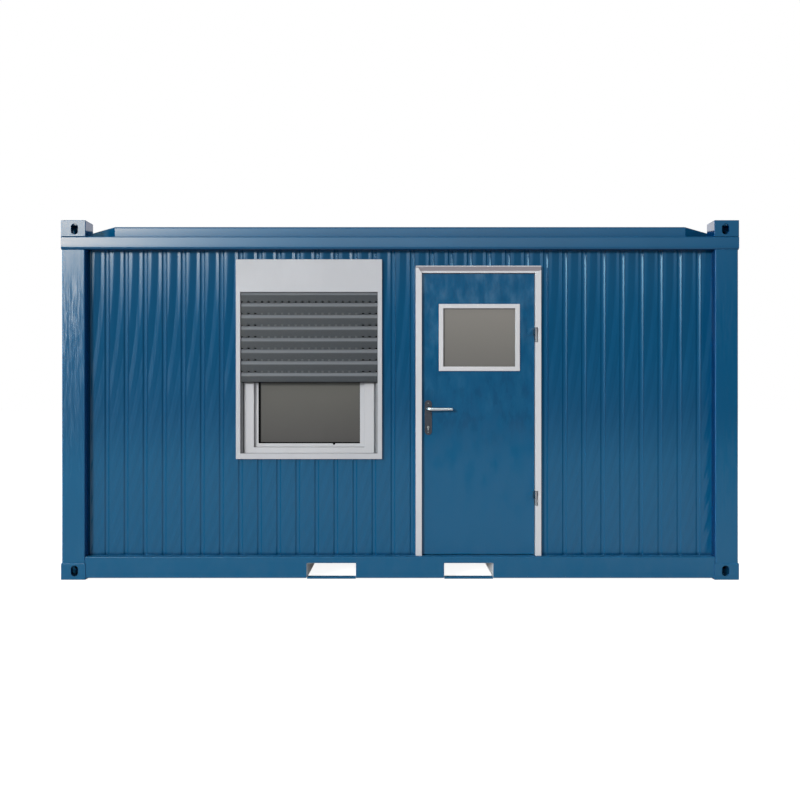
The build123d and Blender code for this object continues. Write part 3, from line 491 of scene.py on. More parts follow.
def sprayed_blue(name, lean=(0.0, 0.0, 0.0, 1.0), waves=0.0, smudges=0.0, ribbed=False,
                 lengthways=False, painted_inner_shade=False):
    """Gloss blue paint on steel: faintly streaked and wavy, rubbed at edges, dusty low down, with
    painted light and shade: lighter low down, darker on faces turned down, on the frame darker on
    faces turned inward, and on ribbed sheet darker in its creases and at its foot.
    lean = (low lean, high lean, low Z, high Z); waves is how far streaks tilt the surface."""
    material, shader, place = started(name)
    lean_low, lean_high, low_z, high_z = lean
    x, y, height = place.parts()
    streak_place = place
    if lengthways:
        streak_place = made(place, "CombineXYZ", {"X": height, "Y": y, "Z": x})
    fineness = 85.0 if painted_inner_shade else 46.0
    streak, cloud = streak_place.through(STREAKS, across=fineness, along=5.0)
    wear = place.through(WEAR)[0]
    dust = place.through(DUST)[0]
    facing = facing_of(place).parts()
    tint = cloud.blend((0.0006, 0.0695, 0.166), (0.0009, 0.0745, 0.177))
    # Painted light: the blue is lighter below about 1.25 m, standing for light bounced up from the floor.
    tint = height.ramp(0.78, 1.25, 1.0, 0.0).blend(tint, (0.0012, 0.09, 0.2))
    # Painted shade: faces turned in towards the cabin's middle are darkened to a deep navy.
    if painted_inner_shade:
        inward_shade = facing[0] * (x * -1.0)
        tint = inward_shade.ramp(1.0, 2.0).blend(tint, (0.0004, 0.042, 0.15))
    jitter = streak.ramp(0.0, 1.0, -waves, waves, "LINEAR")
    jitter = jitter * height.ramp(WALL_TOP_Z - 0.4, WALL_TOP_Z - 0.12, 1.0, 0.15)
    leaned = height.ramp(low_z, high_z, lean_low, lean_high) + jitter
    swayed = jitter * 0.6
    # Painted shade: faces turned down are darkened.
    below = facing[2].ramp(-0.9, -0.6, 0.85, 0.0)
    if ribbed:
        # Painted shade in the fold beside each groove.
        twist, crease_shade = place.through(RIBBING)
        tint = crease_shade.blend(tint, (0.0004, 0.03, 0.09))
        leaned = height.ramp(WALL_TOP_Z - 0.4, WALL_TOP_Z, -0.027, -0.01, "LINEAR")
        hairline = place.noise((125.0, 125.0, 0.7), 3.0, 0.6, seed=4.0)
        swayed = twist * -0.28 + hairline.ramp(0.3, 0.7, -0.055, 0.055, "LINEAR")
        # Painted shadow along the cladding's foot, just above the bottom rail.
        below = below.highest(height.ramp(0.172, 0.19, 0.55, 0.0))
    if smudges:
        cloudy = place.noise((11.0, 11.0, 5.5), 6.0, 0.62, seed=2.0).ramp(0.36, 0.7)
        leaned = cloudy.ramp(0.0, 1.0, -waves, waves, "LINEAR")
        tint = (cloudy * height.ramp(0.75, 1.4) * smudges).blend(tint, (0.02, 0.13, 0.25))
        smears = place.noise((17.0, 17.0, 6.0), 5.0, 0.66, seed=9.0).ramp(0.47, 0.64)
        middle = height.ramp(0.85, 1.2) * height.ramp(1.95, 2.2, 0.42, 0.2)
        tint = (smears * middle).blend(tint, (0.0004, 0.045, 0.115))
    tint = below.blend(tint, (0.0004, 0.02, 0.07))
    tint = (wear * 0.3).blend(tint, (0.04, 0.13, 0.22))
    (dust * 0.05).blend(tint, (0.2, 0.22, 0.22)).into(shader, "Base Color")
    rough = streak.ramp(0.0, 1.0, 0.14, 0.18, "LINEAR")
    rough = rough + dust * 0.1 + facing[2].ramp(0.6, 0.95, 0.0, 0.5)
    if painted_inner_shade:
        squareness = abs(facing[0]).highest(abs(facing[1])).highest(abs(facing[2]))
        rough = rough + squareness.ramp(0.9, 0.98, 0.5, 0.0)
    rough.into(shader, "Roughness")
    leaning = leaned.through(LEAN, sway=swayed)[0]
    bumped(shader, place.through(GRAIN)[0], 0.04 if ribbed else 0.12, leaning)
    return material


def sprayed_white(name, warm, level):
    """Satin white paint or plastic: faint clouds, fine grain, a little grime low down, and painted shade
    on faces turned down.
    """
    material, shader, place = started(name)
    cloud = place.through(STREAKS, across=16.0, along=2.5)[1]
    grain, speck = place.through(GRAIN, peel=0.00003)
    dust = place.through(DUST)[0]
    bright = (level * (1 + 0.3 * warm), level, level * (1 - 0.5 * warm) * 1.03)
    dimmer = tuple(0.93 * part for part in bright)
    tint = (dust * 0.16).blend(cloud.blend(dimmer, bright), (0.32, 0.30, 0.27))
    # Painted shade: faces turned down are tinted a darker mauve grey.
    underside_shade = facing_of(place).parts()[2].ramp(-0.5, -0.2, 0.75, 0.0)
    underside_shade.blend(tint, (0.2, 0.165, 0.19)).into(shader, "Base Color")
    speck.ramp(0.0, 1.0, 0.36, 0.44, "LINEAR").into(shader, "Roughness")
    bumped(shader, grain, 0.5)
    return material


def bare_metal(name, tints, roughs, stretch, metallic=1.0, shadowed_span=None):
    """Brushed, cast or coated metal. shadowed_span is where along X a painted shadow on the left part
    fades.
    """
    material, shader, place = started(name, {"Metallic": metallic})
    brushed = place.noise(stretch, detail=5.0, rough=0.6)
    wear = place.through(WEAR, reach=0.002)[0]
    spread = brushed.ramp(0.3, 0.7)
    tint = (wear * 0.5).blend(spread.blend(*tints), (0.6, 0.6, 0.6))
    if shadowed_span:
        # Painted shadow: the metal left of the span is darkened, as the shadow in the gap beside a hinge
        # barrel.
        tint = place.parts()[0].ramp(*shadowed_span, 1.0, 0.0).blend(tint, (0.004, 0.008, 0.014))
    tint.into(shader, "Base Color")
    spread.ramp(0.0, 1.0, *roughs, "LINEAR").into(shader, "Roughness")
    bumped(shader, brushed * 0.00006, 0.6)
    return material


def plain_grained(name, tints, rough, stretch, height=0.0001, detail=4.0, painted_ledge_light=None,
                  gloss=0.5, downcast=False):
    """Rubber, plastic, timber or paint: two tints through one grain, and a paler tint, painted
    light, where the surface leans back to face up."""
    material, shader, place = started(name, {"Specular IOR Level": gloss})
    grain = place.noise(stretch, detail=detail)
    spread = grain.ramp(0.28, 0.72)
    tint = spread.blend(*tints)
    if painted_ledge_light:
        # Painted light: faces tilted up get a paler tint, as if lit from above.
        tint = facing_of(place).parts()[2].ramp(0.06, 0.16).blend(tint, painted_ledge_light)
    tint.into(shader, "Base Color")
    spread.ramp(0.0, 1.0, rough * 0.88, rough * 1.12, "LINEAR").into(shader, "Roughness")
    sunk = None
    if downcast:
        sunk = facing_of(place).vector("ADD", {1: (0.0, 0.0, -1.4)}).vector("NORMALIZE")
    bumped(shader, grain * height, 0.6, sunk)
    return material


def tinted_glass(name, top, bottom, top_z, bottom_z, transmission):
    """Grey-brown sun glass, lighter towards its top as painted light, with faint streaks of dust."""
    inputs = {"Transmission Weight": transmission, "IOR": 1.5}
    material, shader, place = started(name, inputs)
    cloud = place.through(STREAKS, across=5.0, along=2.0)[1]
    # Painted light: the glass is lighter towards its top.
    tint = place.parts()[2].ramp(bottom_z, top_z, kind="LINEAR").blend(bottom, top)
    (cloud * 0.12).blend(tint, (0.2, 0.195, 0.18)).into(shader, "Base Color")
    cloud.ramp(0.0, 1.0, 0.06, 0.12, "LINEAR").into(shader, "Roughness")
    return material


frame_blue = sprayed_blue("frame_blue", waves=0.032, painted_inner_shade=True)
top_rail_blue = sprayed_blue(
    "top_rail_blue", (0.008, 0.024, WALL_TOP_Z + 0.014, WALL_TOP_Z + 0.045), 0.004, lengthways=True
)
roof_blue = sprayed_blue("roof_blue", (-0.015, -0.015, 0.0, 1.0), 0.003, lengthways=True)
rail_blue = sprayed_blue("rail_blue", waves=0.004, lengthways=True)
cladding_blue = sprayed_blue("cladding_blue", ribbed=True)
door_blue = sprayed_blue("door_blue", waves=0.028, smudges=0.3)
door_white = sprayed_white("door_frame_white", 0.0, 0.6)
window_white = sprayed_white("window_white", -0.02, 0.53)
surround_grey = sprayed_white("surround_light_grey", -0.05, 0.49)
# Painted shade: the shutter guides are a dark grey, standing for the shade cast on them by the surround.
guide_grey = sprayed_white("guide_grey", -0.04, 0.24)
board_white = sprayed_white("lining_board_white", 0.02, 0.66)
# Shutter slats: their leaning shoulders get a paler tint, painted light from above.
curtain_grey = plain_grained(
    "curtain_grey", ((0.028, 0.0305, 0.035), (0.034, 0.0375, 0.043)), 0.42, (60.0, 60.0, 220.0),
    painted_ledge_light=(0.14, 0.15, 0.164), gloss=0.3,
)
slot_pad_grey = plain_grained("slot_pad_grey", ((0.046, 0.05, 0.055), (0.058, 0.062, 0.067)), 0.45, 120.0)
seal_black = plain_grained(
    "seal_black", ((0.002, 0.0022, 0.0024), (0.004, 0.0044, 0.0048)), 0.55, 90.0,
    gloss=0.06, downcast=True,
)
lever_silver = bare_metal(
    "lever_silver", ((0.6, 0.6, 0.61), (0.66, 0.66, 0.67)), (0.34, 0.38), (12.0, 90.0, 90.0)
)
plate_bronze = bare_metal(
    "plate_bronze", ((0.024, 0.026, 0.034), (0.038, 0.039, 0.05)), (0.38, 0.5),
    (420.0, 420.0, 30.0), 0.35,
)
pocket_zinc = bare_metal("pocket_zinc", ((0.78, 0.79, 0.8), (0.88, 0.89, 0.9)), (0.5, 0.62), 34.0, 0.0)
hinge_steel = bare_metal(
    "hinge_steel", ((0.2, 0.21, 0.21), (0.3, 0.31, 0.31)), (0.42, 0.55), (300.0, 300.0, 40.0), 0.3
)
hinge_low, hinge_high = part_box("hinge_frame_halves")
# Hinge barrels carry a painted shadow on their left side.
barrel_steel = bare_metal(
    "hinge_barrel_steel", ((0.24, 0.24, 0.255), (0.3, 0.3, 0.315)), (0.6, 0.7),
    (300.0, 300.0, 40.0), 0.0, (hinge_low.x + 0.002, hinge_low.x + 0.004),
)
# Painted shade: the hinge webs are a dark navy, standing for the shadow in the gap between leaf and
# barrel.
hinge_web_paint = plain_grained(
    "hinge_web_paint", ((0.002, 0.026, 0.058), (0.004, 0.034, 0.07)), 0.4, 60.0, gloss=0.3
)
timber = plain_grained(
    "joist_timber", ((0.2, 0.12, 0.06), (0.42, 0.29, 0.16)), 0.7, (14.0, 1.6, 40.0), 0.0006, 6.0
)
floor_vinyl = plain_grained("floor_vinyl", ((0.16, 0.165, 0.17), (0.23, 0.235, 0.24)), 0.45, 140.0)
window_sun_glass = tinted_glass(
    "window_glass_tinted", (0.186, 0.181, 0.163), (0.1, 0.097, 0.094), 1.45, 1.0, 0.25
)
door_sun_glass = tinted_glass(
    "door_glass_tinted", (0.278, 0.262, 0.237), (0.2, 0.193, 0.179), 1.96, 1.54, 0.2
)


# Ribbed cladding

def groove_line(phase, reach):
    """The wall's face as (along, depth) points with its bends rounded, past both its ends."""
    slope = (GROOVE_MOUTH - GROOVE_FLOOR) / 2
    first = math.floor((-reach - phase) / GROOVE_PITCH)
    last = math.ceil((reach - phase) / GROOVE_PITCH)
    corners = []
    for count in range(first, last + 1):
        middle = phase + count * GROOVE_PITCH
        corners += [
            (middle - GROOVE_MOUTH / 2, 0.0),
            (middle - GROOVE_MOUTH / 2 + slope, GROOVE_DEPTH),
            (middle + GROOVE_MOUTH / 2 - slope, GROOVE_DEPTH),
            (middle + GROOVE_MOUTH / 2, 0.0),
        ]
    corners = [Vector(corner) for corner in corners]
    line = []
    for before, here, after in zip(corners, corners[1:], corners[2:]):
        into = (here - before).normalized()
        out = (after - here).normalized()
        trim = GROOVE_BEND * math.tan(into.angle(out) / 2)
        start, end = here - into * trim, here + out * trim
        for step in range(GROOVE_BEND_STEPS + 1):
            share = step / GROOVE_BEND_STEPS
            point = start.lerp(here, share).lerp(here.lerp(end, share), share)
            line.append(tuple(point))
    return line


def clad(name, panels, line, run, to_plan):
    """Ribbed sheet in the place of wall panels, which run along X (0) or Y (1). to_plan turns
    a groove line's (along, depth) into (x, y)."""
    shape = bmesh.new()
    for panel in panels:
        low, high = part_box(panel)
        left, right, thickness = low[run], high[run], high[1 - run] - low[1 - run]
        start, end = numpy.interp((left, right), *zip(*line)).tolist()
        inside = [point for point in line if left + 1e-5 < point[0] < right - 1e-5]
        face = [(left, start), *inside, (right, end)]
        outline = face + [(right, thickness), (left, thickness)]
        prism([to_plan(*point) for point in outline], low.z, high.z, shape=shape)
    shaded(name, shape, 50, cladding_blue, "blue_paint", *panels)


FRONT_PANELS = [
    "front_wall_" + part
    for part in ("left", "below_window", "above_window", "middle", "above_door", "right")
]
front_line = groove_line(FRONT_GROOVE_PHASE, END_X)
back_line = groove_line(-FRONT_GROOVE_PHASE, END_X)
end_line = groove_line(0.0, CLADDING_Y)
clad("front_cladding", FRONT_PANELS, front_line, 0, lambda along, depth: (along, depth - CLADDING_Y))
clad("back_cladding", ["back_wall"], back_line, 0, lambda along, depth: (along, CLADDING_Y - depth))
for side, panel in ((-1, "end_wall_left"), (1, "end_wall_right")):
    clad(
        panel + "_cladding", [panel], end_line, 1,
        lambda along, depth: (side * (CLADDING_X - depth), along),
    )


# Steel frame

for node_name, finish in (
    ("castings_bottom", frame_blue), ("castings_top", frame_blue), ("corner_posts", frame_blue),
    ("top_rails_end", top_rail_blue), ("top_rail_front", top_rail_blue),
    ("top_rail_back", top_rail_blue),
):
    piece = smoothed(cad_copy(node_name + "_steel", node_name), 30)
    piece.modifiers.new("flats kept flat", "WEIGHTED_NORMAL").keep_sharp = True
    fitted(applied(piece), finish, "blue_paint", node_name)

# Dark blocks inside the castings: painted shade seen through the hand holes
CORE_SETBACK = 0.075
CORE_REACH = (0.166, 0.15)
CORE_NEAR_HOLE = 0.07
CORE_NEAR_POST = 0.012
CORNERS = [(end, side) for end in (-1, 1) for side in (-1, 1)]
shape = bmesh.new()
for node_name, below, above in (
    ("castings_bottom", CORE_NEAR_HOLE, CORE_NEAR_POST),
    ("castings_top", CORE_NEAR_POST, CORE_NEAR_HOLE),
):
    casting_low, casting_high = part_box(node_name)
    for end, side in CORNERS:
        x, y = end * END_X, side * -FRONT_Y
        low = (x - end * CORE_SETBACK, y - side * CORE_SETBACK, casting_low.z + below)
        high = (x - end * CORE_REACH[0], y - side * CORE_REACH[1], casting_high.z - above)
        slab(low, high, shape)
rounded("casting_cores", shape, 0.002, seal_black, "blue_paint")

for node_name, finish, slot, width in (
    ("bottom_rails_end", rail_blue, "blue_paint", 0.004),
    ("roof_gussets", rail_blue, "blue_paint", 0.001),
    ("fork_pocket_straps", rail_blue, "galvanised_steel", 0.002),
    ("floor_joists", timber, "timber", 0.002),
):
    dressed(node_name, finish, slot, width, 2)

# Long bottom rails, each in one length over its fork pockets
POCKET_WIDTH = 0.352
WALL = 0.008
STEP = 0.0005
rail_low, rail_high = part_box("bottom_rail_front")
side_low, side_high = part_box("fork_pocket_sides")
pocket_outer = side_high.x - WALL + STEP
pocket_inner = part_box("fork_pocket_straps")[1].x - POCKET_WIDTH - STEP
pocket_roof_z = side_high.z + STEP
outline = [(rail_low.x, rail_low.z)]
for start, end in ((-pocket_outer, -pocket_inner), (pocket_inner, pocket_outer)):
    outline += [(start, rail_low.z), (start, pocket_roof_z)]
    outline += [(end, pocket_roof_z), (end, rail_low.z)]
outline += [(rail_high.x, rail_low.z), (rail_high.x, rail_high.z), (rail_low.x, rail_high.z)]
shape = bmesh.new()
for near, far in ((rail_low.y, rail_high.y), (-rail_high.y, -rail_low.y)):
    prism(outline, near, far, "Y", shape)
rounded(
    "bottom_rails_long", shape, 0.005, rail_blue, "blue_paint",
    "bottom_rail_front", "bottom_rail_back", "fork_pocket_headers", segments=3,
)

# Fork pocket tunnels, set a little back inside the rails' faces
TUNNEL_INSET = 0.003
TUNNEL_WALL = WALL - 0.001
inset_y = rail_low.y + TUNNEL_INSET
shape = bmesh.new()
for end in (-1, 1):
    near_x, far_x = end * (pocket_inner + STEP), end * (pocket_outer - STEP)
    for wall_x, outward in ((near_x, -end), (far_x, end)):
        high = (wall_x + outward * TUNNEL_WALL, -inset_y, side_high.z)
        slab((wall_x, inset_y, side_low.z + STEP), high, shape)
    high = (far_x + end * TUNNEL_WALL, -inset_y, side_high.z + WALL - STEP)
    slab((near_x - end * TUNNEL_WALL, inset_y, side_high.z), high, shape)
rounded(
    "fork_pocket_tunnels", shape, 0.0006, pocket_zinc, "galvanised_steel",
    "fork_pocket_sides", "fork_pocket_roofs",
)


# Roof deck with its pressed ribs

ROOF_CREST = 0.005
piece = smoothed(cad_copy("roof_deck", "roof_panel"), 30)
deck_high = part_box("roof_panel")[1]
for vertex in piece.data.vertices:
    if vertex.co.z > deck_high.z - 0.003:
        vertex.co.z += ROOF_CREST
fitted(piece, roof_blue, "roof_sheet", "roof_panel")

RIB_PITCH = 0.2
RIB_HEIGHT = 0.006
RIB_HALF = 0.03
RIB_COUNT = 21
RIB_END_GAP = 0.4
rib_reach = deck_high.y - RIB_END_GAP
rib_foot_z = deck_high.z + ROOF_CREST - 0.0005
first_rib = -(RIB_COUNT // 2) * RIB_PITCH
rib = [
    (first_rib + along, rib_foot_z + height)
    for along, height in (
        (-RIB_HALF, 0), (-RIB_HALF * 0.5, RIB_HEIGHT), (RIB_HALF * 0.5, RIB_HEIGHT), (RIB_HALF, 0)
    )
]
shape = prism(rib, -rib_reach, rib_reach, "Y")
rib_step = (RIB_PITCH, 0.0, 0.0)
shaded("roof_ribs", shape, 25, roof_blue, "roof_sheet", count=RIB_COUNT, step=rib_step)


# Inside: floor, ceiling and board linings

dressed("floor_panel", floor_vinyl, "timber", 0.001, 2, ending="_board")
for node_name in ("ceiling_panel", "lining_front", "lining_back", "linings_end"):
    dressed(node_name, board_white, "white_board", 0.001, 2, ending="_board")


# Window

dressed("window_surround", surround_grey, "white_paint", 0.003)
# The guides wear painted shade.
dressed("shutter_guides", guide_grey, "white_paint", 0.002)

FRAME_SHOULDER = 0.027
FRAME_SHOULDER_DEPTH = 0.024
SASH_SHIFT = 0.009
PANE_LEFT = -1.0394
PANE_FOOT = 0.9772
PANE_RIGHT = -0.2948
SASH_TOP_WIDTH = 0.027
shell_low, shell_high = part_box("window_frame")
sash_low, sash_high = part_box("window_sash")
pane_low, pane_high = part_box("window_glass")
hole = (sash_low.x - SASH_SHIFT, sash_low.z, sash_high.x, sash_high.z)
outer = (
    shell_low.x + FRAME_SHOULDER - SASH_SHIFT, shell_low.z + 0.0005,
    shell_high.x - FRAME_SHOULDER, shell_high.z - 0.0005,
)
shape = ring_frame(outer, hole, shell_low.y, shell_high.y)
outer = (shell_low.x, shell_low.z, shell_high.x, shell_high.z)
ring_frame(outer, hole, shell_low.y + FRAME_SHOULDER_DEPTH, shell_high.y, shape)
rounded("window_outer_frame", shape, 0.003, window_white, "white_pvc", "window_frame", segments=3)

opening = (PANE_LEFT, PANE_FOOT, PANE_RIGHT, sash_high.z - SASH_TOP_WIDTH)
shape = ring_frame(hole, opening, sash_low.y, sash_high.y)
rounded("window_sash_ring", shape, 0.0028, window_white, "white_pvc", "window_sash", segments=3)


def grown_box(box, left, foot, right, head):
    """An (x0, z0, x1, z1) with its sides moved out, or in where a number is below 0."""
    return (box[0] - left, box[1] - foot, box[2] + right, box[3] + head)


x0, z0, x1, z1 = grown_box(opening, *[0.004] * 4)
shape = slab((x0, pane_low.y, z0), (x1, pane_high.y - 0.004, z1))
rounded("window_pane", shape, 0.0008, window_sun_glass, "glass", "window_glass")

outer = grown_box(opening, *[0.0005] * 4)
inner = grown_box(opening, -0.0135, -0.0085, -0.001, -0.008)
shape = ring_frame(outer, inner, sash_low.y + 0.0012, pane_low.y + 0.001)
rounded("window_gasket", shape, 0.0008, seal_black, "white_pvc")

DRAIN_PLACE = (-0.485, 0.9755)
plug = [(0.003, -0.003), (0.0085, -0.0024), (0.0095, 0.0), (0.0095, 0.004)]
shape = turned([(radius, sash_low.y + level) for radius, level in plug], DRAIN_PLACE, "Y", 20)
shaded("drain_plug", shape, 35, seal_black, "white_pvc")


# Roller shutter: slats with slotted necks, an end bar and the roll

SLAT_PITCH = 0.0843
SLAT_FLAT = 0.0527
SLAT_SHOULDER = 0.0188
FIRST_SLAT_Z = 1.5077
SLAT_COUNT = 7
SLOT_PITCH = 0.04895
SLOT_WIDTH = 0.0158
FIRST_SLOT_X = -1.1504
SLOT_COUNT = 21
OPEN_SLOTS = 3
ROLL_RADIUS = 0.038
ROLL_END_RADIUS = 0.034
curtain_low, curtain_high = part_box("shutter_curtain")
curtain_near = curtain_low.y
CURTAIN_LEFT = curtain_low.x + 0.002
CURTAIN_RIGHT = curtain_high.x - 0.002
NECK_NEAR = curtain_near + 0.0075
CURTAIN_FAR = curtain_near + 0.012
NECK_LOW = FIRST_SLAT_Z - SLAT_PITCH + SLAT_FLAT + SLAT_SHOULDER
NECK_TOP = NECK_LOW + SLAT_PITCH - SLAT_FLAT - SLAT_SHOULDER
UP = (0.0, 0.0, SLAT_PITCH)
ALONG = (SLOT_PITCH, 0.0, 0.0)


def slat_outline(bottom, flat):
    """A slat's section as (y, z): a flat, a shoulder leaning back under the next slat."""
    top = bottom + flat + SLAT_SHOULDER
    return [
        (curtain_near, bottom), (curtain_near, bottom + 0.7 * flat),
        (curtain_near + 0.0004, bottom + 0.94 * flat), (curtain_near + 0.0012, bottom + flat),
        (NECK_NEAR - 0.0012, top - 0.0015), (NECK_NEAR, top + 0.002),
        (CURTAIN_FAR, top + 0.002), (CURTAIN_FAR, bottom),
    ]


shape = prism(slat_outline(FIRST_SLAT_Z, SLAT_FLAT), CURTAIN_LEFT, CURTAIN_RIGHT, "X")
shaded(
    "shutter_slats", shape, 28, curtain_grey, "shutter_grey", "shutter_curtain",
    count=SLAT_COUNT, step=UP,
)

half_bridge = (SLOT_PITCH - SLOT_WIDTH) / 2
first_bridge = FIRST_SLOT_X + SLOT_PITCH / 2
low = (first_bridge - half_bridge, curtain_near, NECK_LOW)
shape = slab(low, (first_bridge + half_bridge, CURTAIN_FAR, NECK_TOP))
shaded(
    "shutter_slot_bridges", shape, 28, curtain_grey, "shutter_grey",
    count=SLOT_COUNT - 1, step=ALONG, rows=SLAT_COUNT, row_step=UP,
)

half_pad = SLOT_WIDTH / 2 + 0.0002
first_shut = FIRST_SLOT_X + OPEN_SLOTS * SLOT_PITCH
low = (first_shut - half_pad, curtain_near + 0.0004, NECK_LOW + 0.0008)
shape = slab(low, (first_shut + half_pad, CURTAIN_FAR - 0.0002, NECK_TOP + 0.0002))
shaded(
    "shutter_shut_slots", shape, 28, slot_pad_grey, "shutter_grey",
    count=SLOT_COUNT - 2 * OPEN_SLOTS, step=ALONG, rows=SLAT_COUNT - 1, row_step=UP,
)

# Dark strips close the back of the slots: painted shade, so that the open slots look black
low = (CURTAIN_LEFT + 0.001, CURTAIN_FAR + 0.0015, NECK_LOW - 0.006)
shape = slab(low, (CURTAIN_RIGHT - 0.001, CURTAIN_FAR + 0.0035, NECK_TOP + 0.006))
shaded("shutter_brush_strips", shape, 28, seal_black, "shutter_grey", count=SLAT_COUNT, step=UP)

# The end bar and its rubber lip, and the roll
bar_foot = curtain_low.z
lip_top = bar_foot + 0.006
lip_far = CURTAIN_FAR + 0.004
bar = slat_outline(bar_foot, NECK_LOW - SLAT_SHOULDER - bar_foot)
lip = [(curtain_near, bar_foot), (curtain_near, lip_top), (lip_far, lip_top), (lip_far, bar_foot)]
shape = prism(bar, CURTAIN_LEFT, CURTAIN_RIGHT, "X")
prism(lip, CURTAIN_LEFT + 0.001, CURTAIN_RIGHT - 0.001, "X", shape)
rounded("shutter_end_bar", shape, 0.0008, curtain_grey, "shutter_grey")

roll = [
    (ROLL_END_RADIUS, CURTAIN_LEFT + 0.004), (ROLL_RADIUS, CURTAIN_LEFT + 0.006),
    (ROLL_RADIUS, CURTAIN_RIGHT - 0.006), (ROLL_END_RADIUS, CURTAIN_RIGHT - 0.004),
]
shape = turned(roll, (curtain_high.y - ROLL_RADIUS, curtain_high.z - ROLL_RADIUS), "X", 28)
shaded("shutter_roll", shape, 35, curtain_grey, "shutter_grey")


# Door: frame, leaf, window, lock and hinges

for node_name, finish, body, slot, width in (
    ("threshold", hinge_steel, "cabin", "satin_steel", 0.002),
    ("door_leaf", door_blue, "door", "blue_paint", 0.002),
    ("door_window_trims", door_white, "door", "white_paint", 0.003),
    ("door_glass", door_sun_glass, "door", "glass", 0.001),
    ("handle_plates", plate_bronze, "door", "bronze_plate", 0.0025),
    ("lock_cylinders", hinge_steel, "door", "satin_steel", 0.0008),
    ("hinge_frame_halves", barrel_steel, "cabin", "satin_steel", 0.0008),
):
    dressed(node_name, finish, slot, width, body=body)

# The leaf's hinge halves: bare barrels, webs darkened as painted shade, and plates painted with the leaf
HINGE_WEB_REACH = 0.018
leaf_low, leaf_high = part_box("door_leaf")
frame_low, frame_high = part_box("door_frame")
piece = eased(cad_copy("hinge_leaf_halves_made", "hinge_leaf_halves"), 0.0008, 3)
for finish in (barrel_steel, door_blue, hinge_web_paint):
    piece.data.materials.append(finish)
for face in piece.data.polygons:
    if face.center.x < leaf_high.x - HINGE_WEB_REACH:
        face.material_index = 1
    elif face.center.x < hinge_low.x - 0.001:
        face.material_index = 2
fitted(piece, barrel_steel, "satin_steel", "hinge_leaf_halves", body="door")

# Door frame: jambs notched round the hinges, and a head with a sloping drip face
JAMB_NEAR = FRONT_Y + 0.046
NOTCH_FAR = FRONT_Y + 0.090
STOP_NEAR = leaf_high.y + 0.006
STOP_WIDTH = 0.012
GAP = 0.0015
HINGE_GAP = 0.0032
LOCK_EDGE = leaf_low.x - GAP
HINGE_EDGE = leaf_high.x + HINGE_GAP
HEAD_EDGE = leaf_high.z + GAP
JAMB_TOP = frame_high.z - 0.003
NOTCH_X = hinge_high.x + 0.001
NOTCH_HALF = 0.053
HINGE_HEIGHTS = (0.581, 1.768)
DRIP_FOOT_Z = 2.2335
left_jamb = [
    (frame_low.x, frame_low.z), (LOCK_EDGE, frame_low.z), (LOCK_EDGE, HEAD_EDGE),
    (frame_low.x + 0.012, JAMB_TOP), (frame_low.x, JAMB_TOP),
]
right_jamb = [(HINGE_EDGE, frame_low.z)]
for middle in HINGE_HEIGHTS:
    foot, top = middle - NOTCH_HALF, middle + NOTCH_HALF
    right_jamb += [(HINGE_EDGE, foot), (NOTCH_X, foot), (NOTCH_X, top), (HINGE_EDGE, top)]
right_jamb += [(HINGE_EDGE, HEAD_EDGE), (frame_high.x, HEAD_EDGE + 0.02), (frame_high.x, frame_low.z)]
shape = prism(left_jamb, JAMB_NEAR, frame_high.y, "Y")
prism(right_jamb, JAMB_NEAR, NOTCH_FAR, "Y", shape)
low = (HINGE_EDGE, NOTCH_FAR - 0.001, frame_low.z)
slab(low, (frame_high.x, frame_high.y, JAMB_TOP), shape)
for left, right in (
    (LOCK_EDGE - 0.001, LOCK_EDGE + STOP_WIDTH), (HINGE_EDGE - STOP_WIDTH, HINGE_EDGE + 0.001)
):
    slab((left, STOP_NEAR, frame_low.z), (right, frame_high.y, HEAD_EDGE + 0.001), shape)
rounded("door_jambs", shape, 0.0022, door_white, "white_paint", "door_frame", segments=3)

head = [
    (frame_high.y, HEAD_EDGE - STOP_WIDTH), (STOP_NEAR, HEAD_EDGE - STOP_WIDTH),
    (STOP_NEAR, HEAD_EDGE), (JAMB_NEAR + 0.014, HEAD_EDGE), (JAMB_NEAR + 0.014, DRIP_FOOT_Z),
    (frame_low.y + 0.001, frame_high.z - 0.006), (frame_low.y + 0.001, frame_high.z),
    (frame_high.y, frame_high.z),
]
shape = prism(head, frame_low.x + 0.0005, frame_high.x - 0.0005, "X")
rounded("door_head", shape, 0.0015, door_white, "white_paint")

# Seal round the stop, behind the leaf
seal = (leaf_low.x + 0.001, WALL_LOW_Z + 0.017, leaf_high.x - 0.001, leaf_high.z - 0.001)
inner = (seal[0] + 0.007, seal[1] + 0.001, seal[2] - 0.007, seal[3] - 0.007)
shape = ring_frame(seal, inner, leaf_high.y + 0.0015, leaf_high.y + 0.006)
rounded("door_seal", shape, 0.001, seal_black, "white_paint")

